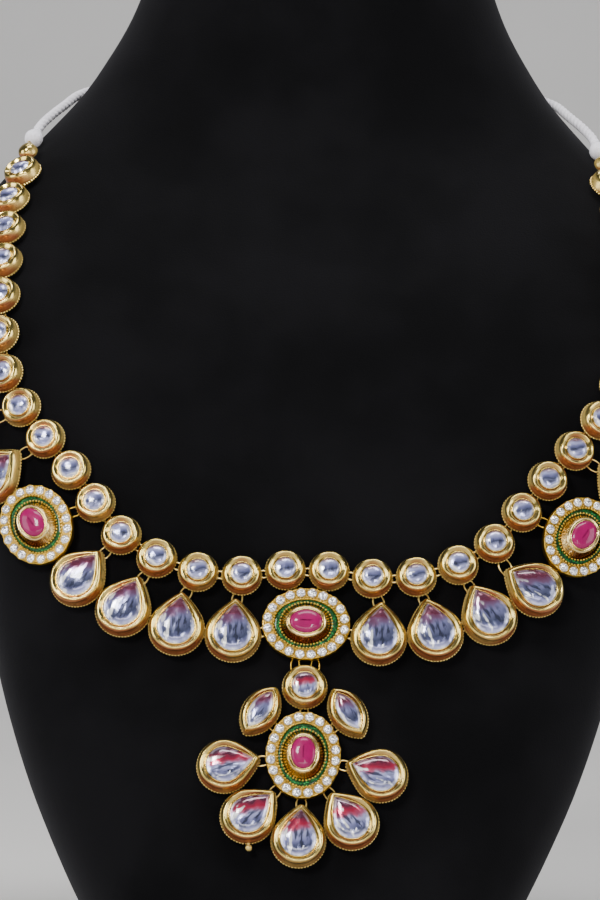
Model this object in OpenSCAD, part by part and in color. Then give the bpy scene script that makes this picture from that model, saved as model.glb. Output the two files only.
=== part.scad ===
// A kundan necklace lying on a plain velvet neck bust.
// Every piece is placed on the bust's own surface, so it follows when the bust changes.
// X is to the wearer's left, the front faces -Y, Z is up, and the origin is under the middle of the bust.

/* [Bust] */
// Height from the base to the top of the neck
bust_height = 290; // [275:5:310]
// Width across the shoulders
bust_width = 200; // [194:2:214]
// Depth from the front foot to the back
bust_depth = 168; // [158:2:180]
// Clearance between the velvet and the back of each setting
bust_gap = 0.3; // [0.2:0.1:0.6]

/* [Round row] */
// Outer width of a round setting
round_width = 10; // [9:0.25:10.5]
// Width of its domed gold rim
round_rim = 2.35; // [2:0.05:2.6]
// Least space between two rounds
round_space = 0.8; // [0.4:0.1:1]

/* [Drops] */
// Width of a drop-shaped setting
drop_width = 13.9; // [13:0.1:14.5]
// From the middle of its round end to its tip
drop_tip = 9.5; // [9:0.1:10]
// Width of its domed gold rim
drop_rim = 2.3; // [2.1:0.1:2.6]
// Width of its rim at the tip
tip_rim = 1.9; // [1.8:0.1:2.4]
// Radius of the long sides of its stone
stone_flank = 24; // [20:1:30]
// Space between two drops, side by side
drop_space = 0.35; // [0.3:0.05:0.8]
// Space between a drop's tip and the rounds
row_space = 1; // [0.8:0.1:1.6]

/* [Medallions] */
// Long width of a medallion
medallion_length = 22; // [21:0.25:23]
// Short width of a medallion
medallion_width = 18.6; // [18:0.2:19.4]
// Space between a medallion and the rounds
medallion_space = 0.5; // [0.4:0.1:1]
// Small stones round each medallion
halo_count = 20; // [16:1:20]
// Width of one small stone
halo_stone = 2.1; // [1.9:0.05:2.2]
// Long width of the ruby
ruby_length = 8; // [7.6:0.1:8.4]
// Short width of the ruby
ruby_width = 6; // [5.7:0.1:6.3]

/* [Pendant] */
// Width of the round that the pendant hangs from
connector_width = 11; // [10:0.25:11.5]
// Width of one of its five drops
petal_width = 13.4; // [12.6:0.1:13.8]
// From the middle of a drop's round end to its tip
petal_tip = 9.3; // [8.8:0.1:9.8]
// Space between two of the drops
petal_space = 0.45; // [0.4:0.05:0.8]
// Space between the medallion and what surrounds it
petal_gap = 1; // [0.8:0.1:1.4]
// Length of a pointed oval setting
leaf_length = 14.4; // [13.6:0.2:15]
// Width of a pointed oval setting
leaf_width = 9; // [8.4:0.2:9.4]
// Space above and below the connecting round
hang_gap = 1.2; // [1:0.1:1.6]

/* [Settings] */
// Height of a setting's back plate above the velvet side
plate_lift = 1.2; // [1.1:0.05:1.5]
// Height of a setting's rim
rim_height = 5; // [4.8:0.1:5.6]
// Thickness of the closed floor under each stone
floor_depth = 1.2; // [1:0.1:1.5]
// Clearance between a stone and its gold
stone_fit = 0.12; // [0.1:0.01:0.18]
// Thickness of the link wire
wire = 0.4; // [0.36:0.02:0.46]
// Clearance between a link and the eye that it passes through
wire_fit = 0.15; // [0.12:0.01:0.2]

/* [Cord] */
// Thickness of the white cord
cord_width = 2.6; // [2.4:0.1:3]
// Width of the slider
clasp_width = 6; // [5:0.5:8]

/* [Hidden] */

gold = "#d9b35a";
crystal = "#c9cbe0";
ruby = "#d81b6a";
green = "#0f6b35";
velvet = "#141416";
white = "#eceaf2";

// Sections of the bust, from the base up, as shares of its sizes:
// height, half width, set back of the front, inset of the back, and squareness of the section.
bust_rows = [
    [0, 0.47, 0, 0.095, 3.2],
    [0.03, 0.5, 0.012, 0.085, 3.3],
    [0.086, 0.59, 0.042, 0.065, 3.6],
    [0.172, 0.705, 0.095, 0.04, 4],
    [0.259, 0.79, 0.149, 0.02, 4.3],
    [0.345, 0.85, 0.202, 0.01, 4.5],
    [0.431, 0.915, 0.256, 0, 4.5],
    [0.517, 0.97, 0.31, 0, 4.5],
    [0.586, 0.995, 0.363, 0, 4.5],
    [0.641, 0.985, 0.425, 0, 4.5],
    [0.683, 0.935, 0.479, 0, 4.4],
    [0.717, 0.865, 0.524, 0, 4.2],
    [0.748, 0.795, 0.56, 0, 3.8],
    [0.776, 0.725, 0.583, 0, 3.4],
    [0.807, 0.65, 0.601, 0.003, 3],
    [0.841, 0.586, 0.613, 0.008, 2.7],
    [0.883, 0.52, 0.622, 0.015, 2.4],
    [0.938, 0.465, 0.628, 0.02, 2.2],
    [0.983, 0.45, 0.632, 0.022, 2.2],
    [1, 0.42, 0.645, 0.035, 2.2]];

// The round row's way over the right half of the chest, from the middle to the top of the shoulder,
// as shares of half the bust's width and of its height. The left half mirrors it.
row_route = [
    [0, 0.369], [0.16, 0.362], [0.27, 0.364], [0.37, 0.374], [0.465, 0.393], [0.6, 0.449],
    [0.73, 0.502], [0.785, 0.536], [0.8, 0.572], [0.805, 0.628], [0.8, 0.69], [0.772, 0.72], [0.757, 0.745]];

// The cord's way on the right side, from the end bead's knot round to the slider; the left mirrors it.
cord_route = [
    [76, 27.5, 222.5], [74, 35, 226.5], [70, 46, 231.5], [66, 58, 236], [58, 71.5, 239.5],
    [45.5, 80.5, 241], [33, 84, 241.5], [22, 85, 241.5], [13, 86, 241.5], [6, 86.5, 241.5]];

// How each front drop swings off square to the row, in degrees, from the middle out.
left_swing = [4, -5, 2, -3];
right_swing = [3, -4, -7, -17];
// How the pendant's drops swing off its middle, and how far the fan of drops leans, in degrees.
petal_swing = [-4, 6, 2, 0, 5];
fan_lean = 2;
// Where the pointed ovals sit, from straight up, and how they turn off the medallion's edge.
leaf_turn = 44;
leaf_swing = 14;

// Shape of a domed gold rim: inset as a share of the rim's width, height as a share of the wall's.
// Its slope runs on past the rim, where the stone's opening cuts it.
rim_shape = [
    [0.3, 0], [0.08, 0.12], [0, 0.4], [0.06, 0.72], [0.24, 0.92], [0.48, 1], [0.74, 0.97], [1.26, 0.71]];

full = 1000;
drop_count = 4;
petal_count = 5;
round_sides = 12;
eye_height = plate_lift - wire / 2 - wire_fit - 0.1;
eye_radius = wire / 2 + wire_fit + wire / 2;
post_start = wire * 0.8;
eye_inset = 1;
drop_eye_inset = 1.6;
tip_eye_inset = 2;
seat_height = plate_lift + floor_depth;
row_drop = round_width / 2 + row_space + drop_tip;
row_medallion = round_width / 2 + medallion_space + medallion_width / 2;

// Small vector helpers.
function unit(v) = v / norm(v);
function flat(v, n) = v - (v * n) * n;
function mirrored(v, side) = [v.x * side, v.y, v.z];
function last(list) = list[len(list) - 1];
function sums(list, i = 0, total = 0) =
    i == len(list) ? [total] : concat([total], sums(list, i + 1, total + list[i]));

// The bust's section at a height, from a smooth curve through its table.
function row_slope(k) =
    let(a = bust_rows[max(k - 1, 0)], b = bust_rows[min(k + 1, len(bust_rows) - 1)]) (b - a) / (b[0] - a[0]);
bust_slopes = [for (k = [0:len(bust_rows) - 1]) row_slope(k)];
function bust_row(z) =
    let(s = min(max(z / bust_height, 0), 1),
        i = max([for (k = [0:len(bust_rows) - 2]) if (bust_rows[k][0] <= s) k]),
        h = bust_rows[i + 1][0] - bust_rows[i][0],
        t = (s - bust_rows[i][0]) / h)
    (2 * t ^ 3 - 3 * t ^ 2 + 1) * bust_rows[i] + (t ^ 3 - 2 * t ^ 2 + t) * h * bust_slopes[i]
    + (3 * t ^ 2 - 2 * t ^ 3) * bust_rows[i + 1] + (t ^ 3 - t ^ 2) * h * bust_slopes[i + 1];
// Half width, middle depth, half depth and squareness.
function bust_section(z) =
    let(r = bust_row(z), front = (r[2] - 0.5) * bust_depth, back = (0.5 - r[3]) * bust_depth)
    [r[1] * bust_width / 2, (front + back) / 2, (back - front) / 2, r[4]];
function bust_level(p) =
    let(s = bust_section(p.z)) pow(abs(p.x) / s[0], s[3]) + pow(abs(p.y - s[1]) / s[2], s[3]) - 1;
function bust_slope(p, e = 0.05) =
    [for (v = [[e, 0, 0], [0, e, 0], [0, 0, e]]) (bust_level(p + v) - bust_level(p - v)) / (2 * e)];
function bust_normal(p) = unit(bust_slope(p));
function settle(p, times = 2) =
    times == 0 ? p : let(g = bust_slope(p)) settle(p - g * bust_level(p) / (g * g), times - 1);
function on_front(x, z) =
    let(s = bust_section(z)) [x, s[1] - s[2] * pow(max(1 - pow(abs(x) / s[0], s[3]), 0), 1 / s[3]), z];
// Walks over the bust's surface from a point; gives the end point and the direction there.
function walk(p, way, distance) =
    distance <= 0.01 ? [p, unit(flat(way, bust_normal(p)))]
    : let(step = min(distance, 3), go = unit(flat(way, bust_normal(p))))
        walk(settle(p + go * step), go, distance - step);

// A frame is a place, its right, its up and its outward direction.
function frame_at(p, up) =
    let(n = bust_normal(p), u = unit(flat(up, n))) [p + n * bust_gap, cross(u, n), u, n];
function turned(f, angle) =
    [f[0], f[1] * cos(angle) - f[2] * sin(angle), f[2] * cos(angle) + f[1] * sin(angle), f[3]];
function shifted(f, x, y) = [f[0] + f[1] * x + f[2] * y, f[1], f[2], f[3]];

// The round row's line and its length along the surface.
row_points = [for (p = row_route) [p.x * bust_width / 2, p.y * bust_height]];
function row_knot(i) =
    i < 0 ? [-row_points[-i].x, row_points[-i].y] : row_points[min(i, len(row_points) - 1)];
function row_between(i, t) =
    let(a = row_knot(i - 1), b = row_knot(i), c = row_knot(i + 1), d = row_knot(i + 2))
    0.5 * (2 * b + (c - a) * t + (2 * a - 5 * b + 4 * c - d) * t ^ 2 + (3 * b - a - 3 * c + d) * t ^ 3);
row_line = [for (i = [0:len(row_points) - 2], t = [0:0.125:0.99])
    let(p = row_between(i, t)) on_front(p.x, p.y), on_front(last(row_points).x, last(row_points).y)];
row_lengths = sums([for (i = [1:len(row_line) - 1]) norm(row_line[i] - row_line[i - 1])]);
function at_length(line, lengths, s) =
    let(i = max([0, for (k = [0:len(line) - 2]) if (lengths[k] <= s) k]),
        t = (s - lengths[i]) / (lengths[i + 1] - lengths[i]))
    line[i] + (line[i + 1] - line[i]) * t;
function row_place(s) = settle(at_length(row_line, row_lengths, s));
function row_way(s) =
    unit(at_length(row_line, row_lengths, s + 1) - at_length(row_line, row_lengths, max(s - 1, 0)));
// The direction across the row, towards the neck.
function row_up(s) = s < 0.01 ? [0, 0, 1] : cross(bust_normal(row_place(s)), row_way(s));

end_reserve = 7;
row_length = last(row_lengths) - end_reserve;
round_count = floor(row_length / (round_width + round_space));
round_pitch = row_length / round_count;
function round_at(i) = (i + 0.5) * round_pitch;
round_spots = [for (i = [0:round_count - 1])
    let(s = round_at(i)) [row_place(s), row_up(s)]];
function round_frame(side, i) =
    frame_at(mirrored(round_spots[i][0], side), mirrored(round_spots[i][1], side));

// The outer row's line lies a drop's length outside the round row.
outer_steps = 6 * round_count;
outer_at = [for (k = [0:outer_steps]) k * row_length / outer_steps];
outer_line = [for (s = outer_at) walk(row_place(s), -row_up(s), row_drop)[0]];
outer_lengths = sums([for (i = [1:len(outer_line) - 1]) norm(outer_line[i] - outer_line[i - 1])]);
// Where along the round row the outer row has come this far.
function row_under(distance) =
    let(i = max([0, for (k = [0:len(outer_line) - 2]) if (outer_lengths[k] <= distance) k]),
        t = (distance - outer_lengths[i]) / (outer_lengths[i + 1] - outer_lengths[i]))
    outer_at[i] + (outer_at[i + 1] - outer_at[i]) * t;
drop_pitch = drop_width + drop_space;
first_drop = medallion_length / 2 + drop_space + drop_width / 2;
side_medallion = 2 * first_drop + (drop_count - 1) * drop_pitch;
first_shoulder = side_medallion + first_drop;
shoulder_room = last(outer_lengths) - first_shoulder - drop_width / 2 + 2;
shoulder_count = floor(shoulder_room / drop_pitch) + 1;
function outer_spot(distance, depth) =
    let(s = row_under(distance), w = walk(row_place(s), -row_up(s), depth)) [w[0], -w[1], s];
drop_spots = [for (k = [0:drop_count - 1]) outer_spot(first_drop + k * drop_pitch, row_drop)];
shoulder_spots = [for (k = [0:shoulder_count - 1]) outer_spot(first_shoulder + k * drop_pitch, row_drop)];
medallion_spot = outer_spot(side_medallion, row_medallion);
centre_spot = walk(row_place(0), [0, 0, -1], row_medallion)[0];
connector_spot = walk(centre_spot, [0, 0, -1], medallion_width / 2 + hang_gap + connector_width / 2)[0];
pendant_spot = walk(connector_spot, [0, 0, -1], connector_width / 2 + hang_gap + medallion_length / 2)[0];

function spot_frame(spot, side) = frame_at(mirrored(spot[0], side), mirrored(spot[1], side));
function swing(side, k) = side > 0 ? right_swing[k] : left_swing[k];
function drop_frame(side, k) =
    turned(spot_frame(drop_spots[k], side), swing(side, k));
function shoulder_frame(side, k) = spot_frame(shoulder_spots[k], side);
function medallion_frame(side) =
    side == 0 ? frame_at(centre_spot, [0, 0, 1]) : spot_frame(medallion_spot, side);
connector_frame = frame_at(connector_spot, [0, 0, 1]);
pendant_frame = frame_at(pendant_spot, [0, 0, 1]);

module on(f) {
    multmatrix([
        [f[1].x, f[2].x, f[3].x, f[0].x],
        [f[1].y, f[2].y, f[3].y, f[0].y],
        [f[1].z, f[2].z, f[3].z, f[0].z],
        [0, 0, 0, 1]])
        children();
}

// Outlines are lists of arcs: the arc's middle, its radius, and the flat sector that keeps its own part.
// Sectors meet along lines that rise 3 in 5 or 4 in 5, so neighbouring arcs share exact faces.
reach = 20;
slant = [0.8, 0.6];
steep = [0.6, 0.8];
// A drop's round end runs into two long sides, whose middles lie across the axis and a little below.
function side_offset(r, tip) = round(100 * (tip ^ 2 - r ^ 2) / (2 * r - 2 * slant.y * tip)) / 100;
function drop_arcs(r, tip) =
    let(k = side_offset(r, tip), e = slant * reach)
    [[[0, 0], r, [[0, 0], [e.x, e.y], [e.x, -reach], [-e.x, -reach], [-e.x, e.y]]],
     [-k * slant, r + k, [[0, 0], [e.x, e.y], [e.x, reach], [0, reach]]],
     [[k * slant.x, -k * slant.y], r + k, [[0, 0], [0, reach], [-e.x, reach], [-e.x, e.y]]]];
function leaf_flank(half, r) = round(100 * (half ^ 2 + r ^ 2) / (2 * r)) / 100;
function leaf_arcs(half, r) =
    let(f = leaf_flank(half, r))
    [for (side = [-1, 1])
        [[side * (f - r), 0], f, [[0, -reach], [0, reach], [-side * reach, reach], [-side * reach, -reach]]]];
function oval_arcs(a, b) =
    let(k = (a - b) / (steep.x + steep.y - 1), c = k * steep, e = steep * reach)
    concat(
        [for (side = [-1, 1])
            [[side * c.x, 0], a - c.x,
             [[side * c.x, 0], [side * (c.x + e.x), e.y], [side * (c.x + e.x), -e.y]]]],
        [for (side = [-1, 1])
            [[0, -side * c.y], b + c.y,
             [[-c.x, 0], [c.x, 0], [c.x + e.x, side * e.y], [-c.x - e.x, side * e.y]]]]);
function circle_arcs(r) = [[[0, 0], r, [[-reach, -reach], [reach, -reach], [reach, reach], [-reach, reach]]]];

// Carries a section round an outline. The section's points are an inset from the outline and a height.
module round_about(arcs, section) {
    for (a = arcs) intersection() {
        translate(a[0])
            rotate_extrude($fn = 96)
                polygon([for (p = section) [max(a[1] - p.x, 0), p.y]]);
        if (len(arcs) > 1)
            translate([0, 0, -reach])
                linear_extrude(2 * reach)
                    polygon(a[2]);
    }
}

// A gold cup with a domed rim and a closed floor. Its child is the flat outline of the stone's opening.
function cup_section(rim) = concat(
    [for (p = rim_shape) [p.x * rim, plate_lift + p.y * (rim_height - plate_lift)]],
    [[full, plate_lift + last(rim_shape).y * (rim_height - plate_lift)], [full, plate_lift]]);
module cup(outer, rim) {
    difference() {
        round_about(outer, cup_section(rim));
        translate([0, 0, seat_height])
            linear_extrude(rim_height)
                children();
    }
}

// A cut stone between a lower outline, a girdle and a smaller table, which are loops of equal length.
module stone(girdle, table, low, middle, top) {
    n = len(girdle);
    points = concat(
        [for (p = girdle) [p.x, p.y, low]],
        [for (p = girdle) [p.x, p.y, middle]],
        [for (p = table) [p.x, p.y, top]]);
    polyhedron(points, tube_faces(n, 3));
}
// The faces of a closed tube of count rings with n points each.
function tube_faces(n, count) = concat(
    [[for (i = [0:n - 1]) i]],
    [for (k = [0:count - 2], i = [0:n - 1])
        [k * n + i, (k + 1) * n + i, (k + 1) * n + (i + 1) % n, k * n + (i + 1) % n]],
    [[for (i = [n - 1:-1:0]) (count - 1) * n + i]]);
function ring_points(a, b, n) = [for (i = [0:n - 1]) [a * cos(i * 360 / n), b * sin(i * 360 / n)]];
// A stone's sides are straighter than its setting's, which makes its tip sharper.
function side_lean(r, tip) =
    asin((2 * stone_flank * r - r ^ 2 - tip ^ 2) / (2 * tip * (stone_flank - r)));
function drop_points(r, tip, inset) =
    let(lean = side_lean(r, tip), c = (stone_flank - r) * [cos(lean), sin(lean)], f = stone_flank - inset,
        end = acos(c.x / f) - lean, way = 180 + 2 * lean)
    concat(
        [for (t = [0:0.25:1]) [f * cos(lean + end * t) - c.x, f * sin(lean + end * t) - c.y]],
        [for (t = [0.75:-0.25:0]) [c.x - f * cos(lean + end * t), f * sin(lean + end * t) - c.y]],
        [for (t = [0.1:0.1:0.91]) (r - inset) * [cos(180 - lean + way * t), sin(180 - lean + way * t)]]);
function leaf_points(half, r, inset) =
    let(f = leaf_flank(half, r) - inset, c = leaf_flank(half, r) - r, end = acos(c / f))
    concat(
        [for (t = [-0.6, 0, 0.6, 1]) [f * cos(end * t) - c, f * sin(end * t)]],
        [for (t = [0.6, 0, -0.6, -1]) [c - f * cos(end * t), f * sin(end * t)]]);
stone_low = seat_height + stone_fit;
stone_middle = plate_lift + 0.78 * (rim_height - plate_lift);
stone_top = rim_height + 0.1;
drop_crown = 0.3;
leaf_crown = 0.2;
table_share = 0.62;
crown_share = 0.11;

// Links: an eye stands on one back, and a ring soldered to the next back passes through it.
function eye_spot(f, aim, reach) = f[0] + unit(flat(aim - f[0], f[3])) * reach + f[3] * eye_height;
module torus(middle, axis, radius) {
    side = unit(abs(axis.z) < 0.9 ? cross(axis, [0, 0, 1]) : cross(axis, [1, 0, 0]));
    on([middle, side, cross(axis, side), axis])
        rotate_extrude($fn = 40)
            translate([radius, 0])
                circle(d = wire, $fn = 16);
}
module eye(from, to) {
    chord = unit(to[0] - from[0]);
    torus(to[0], unit(cross(chord, from[1] + to[1])), eye_radius);
}
module ring(from, to) {
    chord = unit(to[0] - from[0]);
    torus((from[0] + to[0]) / 2, unit(flat(from[1] + to[1], chord)), norm(to[0] - from[0]) / 2);
    on([from[0] - from[1] * post_start, chord, cross(from[1], chord), from[1]])
        cylinder(r = wire * 0.8, h = post_start + plate_lift - eye_height + 0.2, $fn = 16);
}
// The two ends of a link between two backs: the post on the first and the eye on the second.
function link_ends(a, reach_a, b, reach_b) =
    [[eye_spot(a, b[0], reach_a), a[3]], [eye_spot(b, a[0], reach_b), b[3]]];
module link_ring(e) {
    ring(e[0], e[1]);
}
module link_eye(e) {
    eye(e[0], e[1]);
}

round_reach = round_width / 2 - eye_inset;
drop_reach = drop_width / 2 - drop_eye_inset;
medallion_reach = medallion_length / 2 - drop_eye_inset;
medallion_rise = medallion_width / 2 - eye_inset - 0.6;

// Links of the round row; the middle one joins the right half to the left.
function round_link(side, i) =
    link_ends(round_frame(side, i), round_reach, round_frame(side, i + 1), round_reach);
middle_link = link_ends(round_frame(1, 0), round_reach, round_frame(-1, 0), round_reach);
// The tie from a drop's tip, or from a medallion, to its nearest round.
function nearest_round(s) = min(max(round(s / round_pitch - 0.5), 0), round_count - 1);
function tip_tie(f, side, s) =
    let(b = round_frame(side, nearest_round(s)),
        post = f[0] + f[2] * (drop_tip - tip_eye_inset) + f[3] * eye_height)
    [[post, f[3]], [eye_spot(b, post, round_reach), b[3]]];
function medallion_tie(side, s) =
    let(toward = side == 0 ? sign(s) : side, b = round_frame(toward, nearest_round(abs(s))))
    link_ends(medallion_frame(side), medallion_rise, b, round_reach);
function drop_tie(side, k) = tip_tie(drop_frame(side, k), side, drop_spots[k][2]);
function shoulder_tie(side, k) = tip_tie(shoulder_frame(side, k), side, shoulder_spots[k][2]);
// Links along the outer row, each from the piece nearer the middle to the next.
function drop_link(side, k) =
    k == 0 ? link_ends(drop_frame(side, 0), drop_reach, medallion_frame(0), medallion_reach)
    : link_ends(drop_frame(side, k), drop_reach, drop_frame(side, k - 1), drop_reach);
function side_link(side) =
    link_ends(medallion_frame(side), medallion_reach, drop_frame(side, drop_count - 1), drop_reach);
function shoulder_link(side, k) =
    k == 0 ? link_ends(shoulder_frame(side, 0), drop_reach, medallion_frame(side), medallion_reach)
    : link_ends(shoulder_frame(side, k), drop_reach, shoulder_frame(side, k - 1), drop_reach);

// The end bead sits past the last round.
end_width = 5.2;
end_place = row_place(row_length + round_space + end_width / 2);
function end_frame(side) = frame_at(mirrored(end_place, side), mirrored(row_up(row_length), side));
end_reach = end_width / 2 - eye_inset;
function end_link(side) =
    link_ends(end_frame(side), end_reach, round_frame(side, round_count - 1), round_reach);

module bust() {
    around = 48;
    heights = [for (k = [0:len(bust_rows) - 2], t = [0, 0.5])
        bust_rows[k][0] + t * (bust_rows[k + 1][0] - bust_rows[k][0]), 1];
    function squared(v, n) = sign(v) * pow(abs(v), 2 / n);
    function rim_of(z) = let(s = bust_section(z)) [for (i = [0:around - 1])
        let(t = (i + 0.5) * 360 / around)
        [s[0] * squared(cos(t), s[3]), s[1] + s[2] * squared(sin(t), s[3]), z]];
    rings = [for (h = heights) rim_of(h * bust_height)];
    color(velvet)
        polyhedron([for (r = rings, p = r) p], tube_faces(around, len(rings)));
}

module round_stone(r) {
    stone(ring_points(r, r, round_sides), ring_points(r * table_share, r * table_share, round_sides),
          stone_low, stone_middle, stone_top);
}

module round_row(side) {
    color(gold) {
        for (i = [0:round_count - 1]) {
            f = round_frame(side, i);
            on(f)
                cup(circle_arcs(round_width / 2), round_rim)
                    circle(round_width / 2 - round_rim, $fn = 96);
            if (i < round_count - 1)
                link_ring(round_link(side, i));
            if (i > 0)
                link_eye(round_link(side, i - 1));
            for (k = [0:drop_count - 1])
                if (nearest_round(drop_spots[k][2]) == i)
                    link_eye(drop_tie(side, k));
            for (k = [0:shoulder_count - 1])
                if (nearest_round(shoulder_spots[k][2]) == i)
                    link_eye(shoulder_tie(side, k));
            if (nearest_round(medallion_spot[2]) == i)
                link_eye(medallion_tie(side, medallion_spot[2]));
            if (i == 0)
                link_eye(medallion_tie(0, side * round_pitch / 2));
            if (i == round_count - 1)
                link_eye(end_link(side));
        }
        if (side > 0)
            link_ring(middle_link);
        else
            link_eye(middle_link);
    }
}

module round_stones(side) {
    r = round_width / 2 - round_rim - stone_fit;
    color(crystal)
        for (i = [0:round_count - 1])
            on(round_frame(side, i))
                round_stone(r);
}

module drop(width, tip) {
    cup(drop_arcs(width / 2, tip), drop_rim)
        polygon(drop_points(width / 2 - drop_rim, tip - tip_rim, 0));
}

module drop_stone(width, tip) {
    r = width / 2 - drop_rim;
    stone(drop_points(r, tip - tip_rim, stone_fit), drop_points(r, tip - tip_rim, width * crown_share),
          stone_low, stone_middle, stone_top + drop_crown);
}

module front_drop(side, k) {
    color(gold) {
        on(drop_frame(side, k))
            drop(drop_width, drop_tip);
        link_ring(drop_tie(side, k));
        link_ring(drop_link(side, k));
        if (k < drop_count - 1)
            link_eye(drop_link(side, k + 1));
        else
            link_eye(side_link(side));
    }
}

module front_stone(side, k) {
    color(crystal)
        on(drop_frame(side, k))
            drop_stone(drop_width, drop_tip);
}

module shoulder_drops(side) {
    color(gold)
        for (k = [0:shoulder_count - 1]) {
            on(shoulder_frame(side, k))
                drop(drop_width, drop_tip);
            link_ring(shoulder_tie(side, k));
            link_ring(shoulder_link(side, k));
            if (k < shoulder_count - 1)
                link_eye(shoulder_link(side, k + 1));
        }
}

module shoulder_stones(side) {
    color(crystal)
        for (k = [0:shoulder_count - 1])
            on(shoulder_frame(side, k))
                drop_stone(drop_width, drop_tip);
}

// Parts of a medallion, outside in: halo plate, beaded edge, enamel channel and raised ruby cup.
halo_top = plate_lift + 2.2;
channel_top = plate_lift + 1.5;
halo_edge = 0.25;
halo_seat = 0.6;
bead_edge = 0.4;
bead_rise = 0.25;
edge_step = 0.08;
channel_inset = halo_edge + halo_stone + 2 * stone_fit + bead_edge;
channel_a = medallion_length / 2 - channel_inset;
channel_b = medallion_width / 2 - channel_inset;
enamel_depth = 0.35;
cup_wall = 2.2;
cup_lean = 1.3;
cup_foot = 0.5;
cup_a = ruby_length / 2 + cup_wall;
cup_b = ruby_width / 2 + cup_wall;
cup_top = rim_height + 0.7;
cup_rim = cup_wall - stone_fit;
ruby_seat = cup_top - 1.4;
ruby_crown = 0.9;
ruby_table = 0.66;
halo_crown = 0.45;
merge = 0.2;
halo_loop = [for (t = [0:3:360])
    [(medallion_length / 2 - halo_edge - halo_stone / 2) * cos(t),
     (medallion_width / 2 - halo_edge - halo_stone / 2) * sin(t)]];
halo_lengths = sums([for (i = [1:len(halo_loop) - 1]) norm(halo_loop[i] - halo_loop[i - 1])]);
halo_spots = [for (i = [0:halo_count - 1])
    at_length(halo_loop, halo_lengths, (i + 0.5) * last(halo_lengths) / halo_count)];

// The plate's section, then the raised edge that holds the enamel, then the ruby's cup: insets and heights.
plate_section = [
    [0.4, plate_lift], [0, plate_lift + 0.5], [0, halo_top - 0.4], [0.3, halo_top],
    [full, halo_top], [full, plate_lift]];
edge_section = [
    [0, halo_top - merge], [0, halo_top + bead_rise],
    [bead_edge - edge_step, halo_top + bead_rise], [bead_edge - edge_step, halo_top - merge]];
ruby_section = [
    [0, channel_top - merge], [0, channel_top + cup_foot], [cup_lean, cup_top], [cup_rim, cup_top],
    [cup_rim, ruby_seat], [full, ruby_seat], [full, channel_top - merge]];

module medallion() {
    difference() {
        round_about(oval_arcs(medallion_length / 2, medallion_width / 2), plate_section);
        translate([0, 0, channel_top])
            linear_extrude(halo_top)
                oval_face(channel_a, channel_b);
        for (p = halo_spots)
            translate([p.x, p.y, halo_top - halo_seat])
                cylinder(d = halo_stone + 2 * stone_fit, h = 2 * halo_seat, $fn = 24);
    }
    round_about(oval_arcs(channel_a + bead_edge, channel_b + bead_edge), edge_section);
    round_about(oval_arcs(cup_a, cup_b), ruby_section);
}

module oval_face(a, b) {
    polygon(ring_points(a, b, 64));
}

module medallion_at(f, upright) {
    on(f)
        rotate([0, 0, upright ? 90 : 0])
            medallion();
}

module centre_medallion() {
    color(gold) {
        medallion_at(medallion_frame(0), false);
        for (side = [-1, 1]) {
            link_eye(drop_link(side, 0));
            link_ring(medallion_tie(0, side * round_pitch / 2));
            link_ring(hang_link(side));
        }
    }
}

module side_medallion(side) {
    color(gold) {
        medallion_at(medallion_frame(side), false);
        link_ring(side_link(side));
        link_ring(medallion_tie(side, medallion_spot[2]));
        link_eye(shoulder_link(side, 0));
    }
}

module pendant_medallion() {
    color(gold) {
        medallion_at(pendant_frame, true);
        link_eye(pendant_link);
        for (k = [1:petal_count])
            link_eye(petal_link(k));
        for (side = [-1, 1])
            link_eye(leaf_link(side));
    }
}

module ruby_at(f, upright) {
    color(ruby)
        on(f)
            rotate([0, 0, upright ? 90 : 0])
                stone(ring_points(ruby_length / 2, ruby_width / 2, 16),
                      ring_points(ruby_length / 2 * ruby_table, ruby_width / 2 * ruby_table, 16),
                      ruby_seat + stone_fit, cup_top, cup_top + ruby_crown);
}

module halo_at(f, upright) {
    color(crystal)
        on(f)
            rotate([0, 0, upright ? 90 : 0])
                for (p = halo_spots)
                    translate([p.x, p.y, 0])
                        stone(ring_points(halo_stone / 2, halo_stone / 2, 8),
                              ring_points(halo_stone * table_share / 2, halo_stone * table_share / 2, 8),
                              halo_top - halo_seat + stone_fit, halo_top, halo_top + halo_crown);
}

module enamel_at(f, upright) {
    color(green)
        on(f)
            rotate([0, 0, upright ? 90 : 0])
                translate([0, 0, channel_top + stone_fit])
                    linear_extrude(enamel_depth)
                        difference() {
                            oval_face(channel_a - stone_fit, channel_b - stone_fit);
                            oval_face(cup_a + 2 * stone_fit, cup_b + 2 * stone_fit);
                        }
}

module enamel_rings() {
    for (side = [-1, 0, 1])
        enamel_at(medallion_frame(side), false);
    enamel_at(pendant_frame, true);
}

// The pendant: a round, a medallion on end, two pointed ovals above and a fan of five drops below.
hang_side = 2.5;
connector_reach = connector_width / 2 - eye_inset;
function hang_link(side) =
    let(up = shifted(medallion_frame(0), side * hang_side, -medallion_width / 2 + eye_inset + 0.3),
        down = shifted(connector_frame, side * hang_side, sqrt(connector_reach ^ 2 - hang_side ^ 2)))
    [[up[0] + up[3] * eye_height, up[3]], [down[0] + down[3] * eye_height, down[3]]];
pendant_link = link_ends(connector_frame, connector_reach, pendant_frame, medallion_length / 2 - eye_inset);
function medallion_edge(angle) =
    1 / norm([sin(angle) * 2 / medallion_width, cos(angle) * 2 / medallion_length]);
function petal_far(angle) = medallion_edge(angle) + petal_gap + petal_tip;
function petal_step(angle, way) =
    angle + way * 2 * asin((petal_width + petal_space) / (2 * petal_far(angle + way * 20)));
function petal_angle(k) =
    k == 3 ? 180 + fan_lean : k < 3 ? petal_step(petal_angle(k + 1), 1) : petal_step(petal_angle(k - 1), -1);
function petal_frame(k) =
    let(a = petal_angle(k), far = petal_far(a))
    turned(shifted(pendant_frame, far * sin(a), far * cos(a)), a + 180 + petal_swing[k - 1]);
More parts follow.
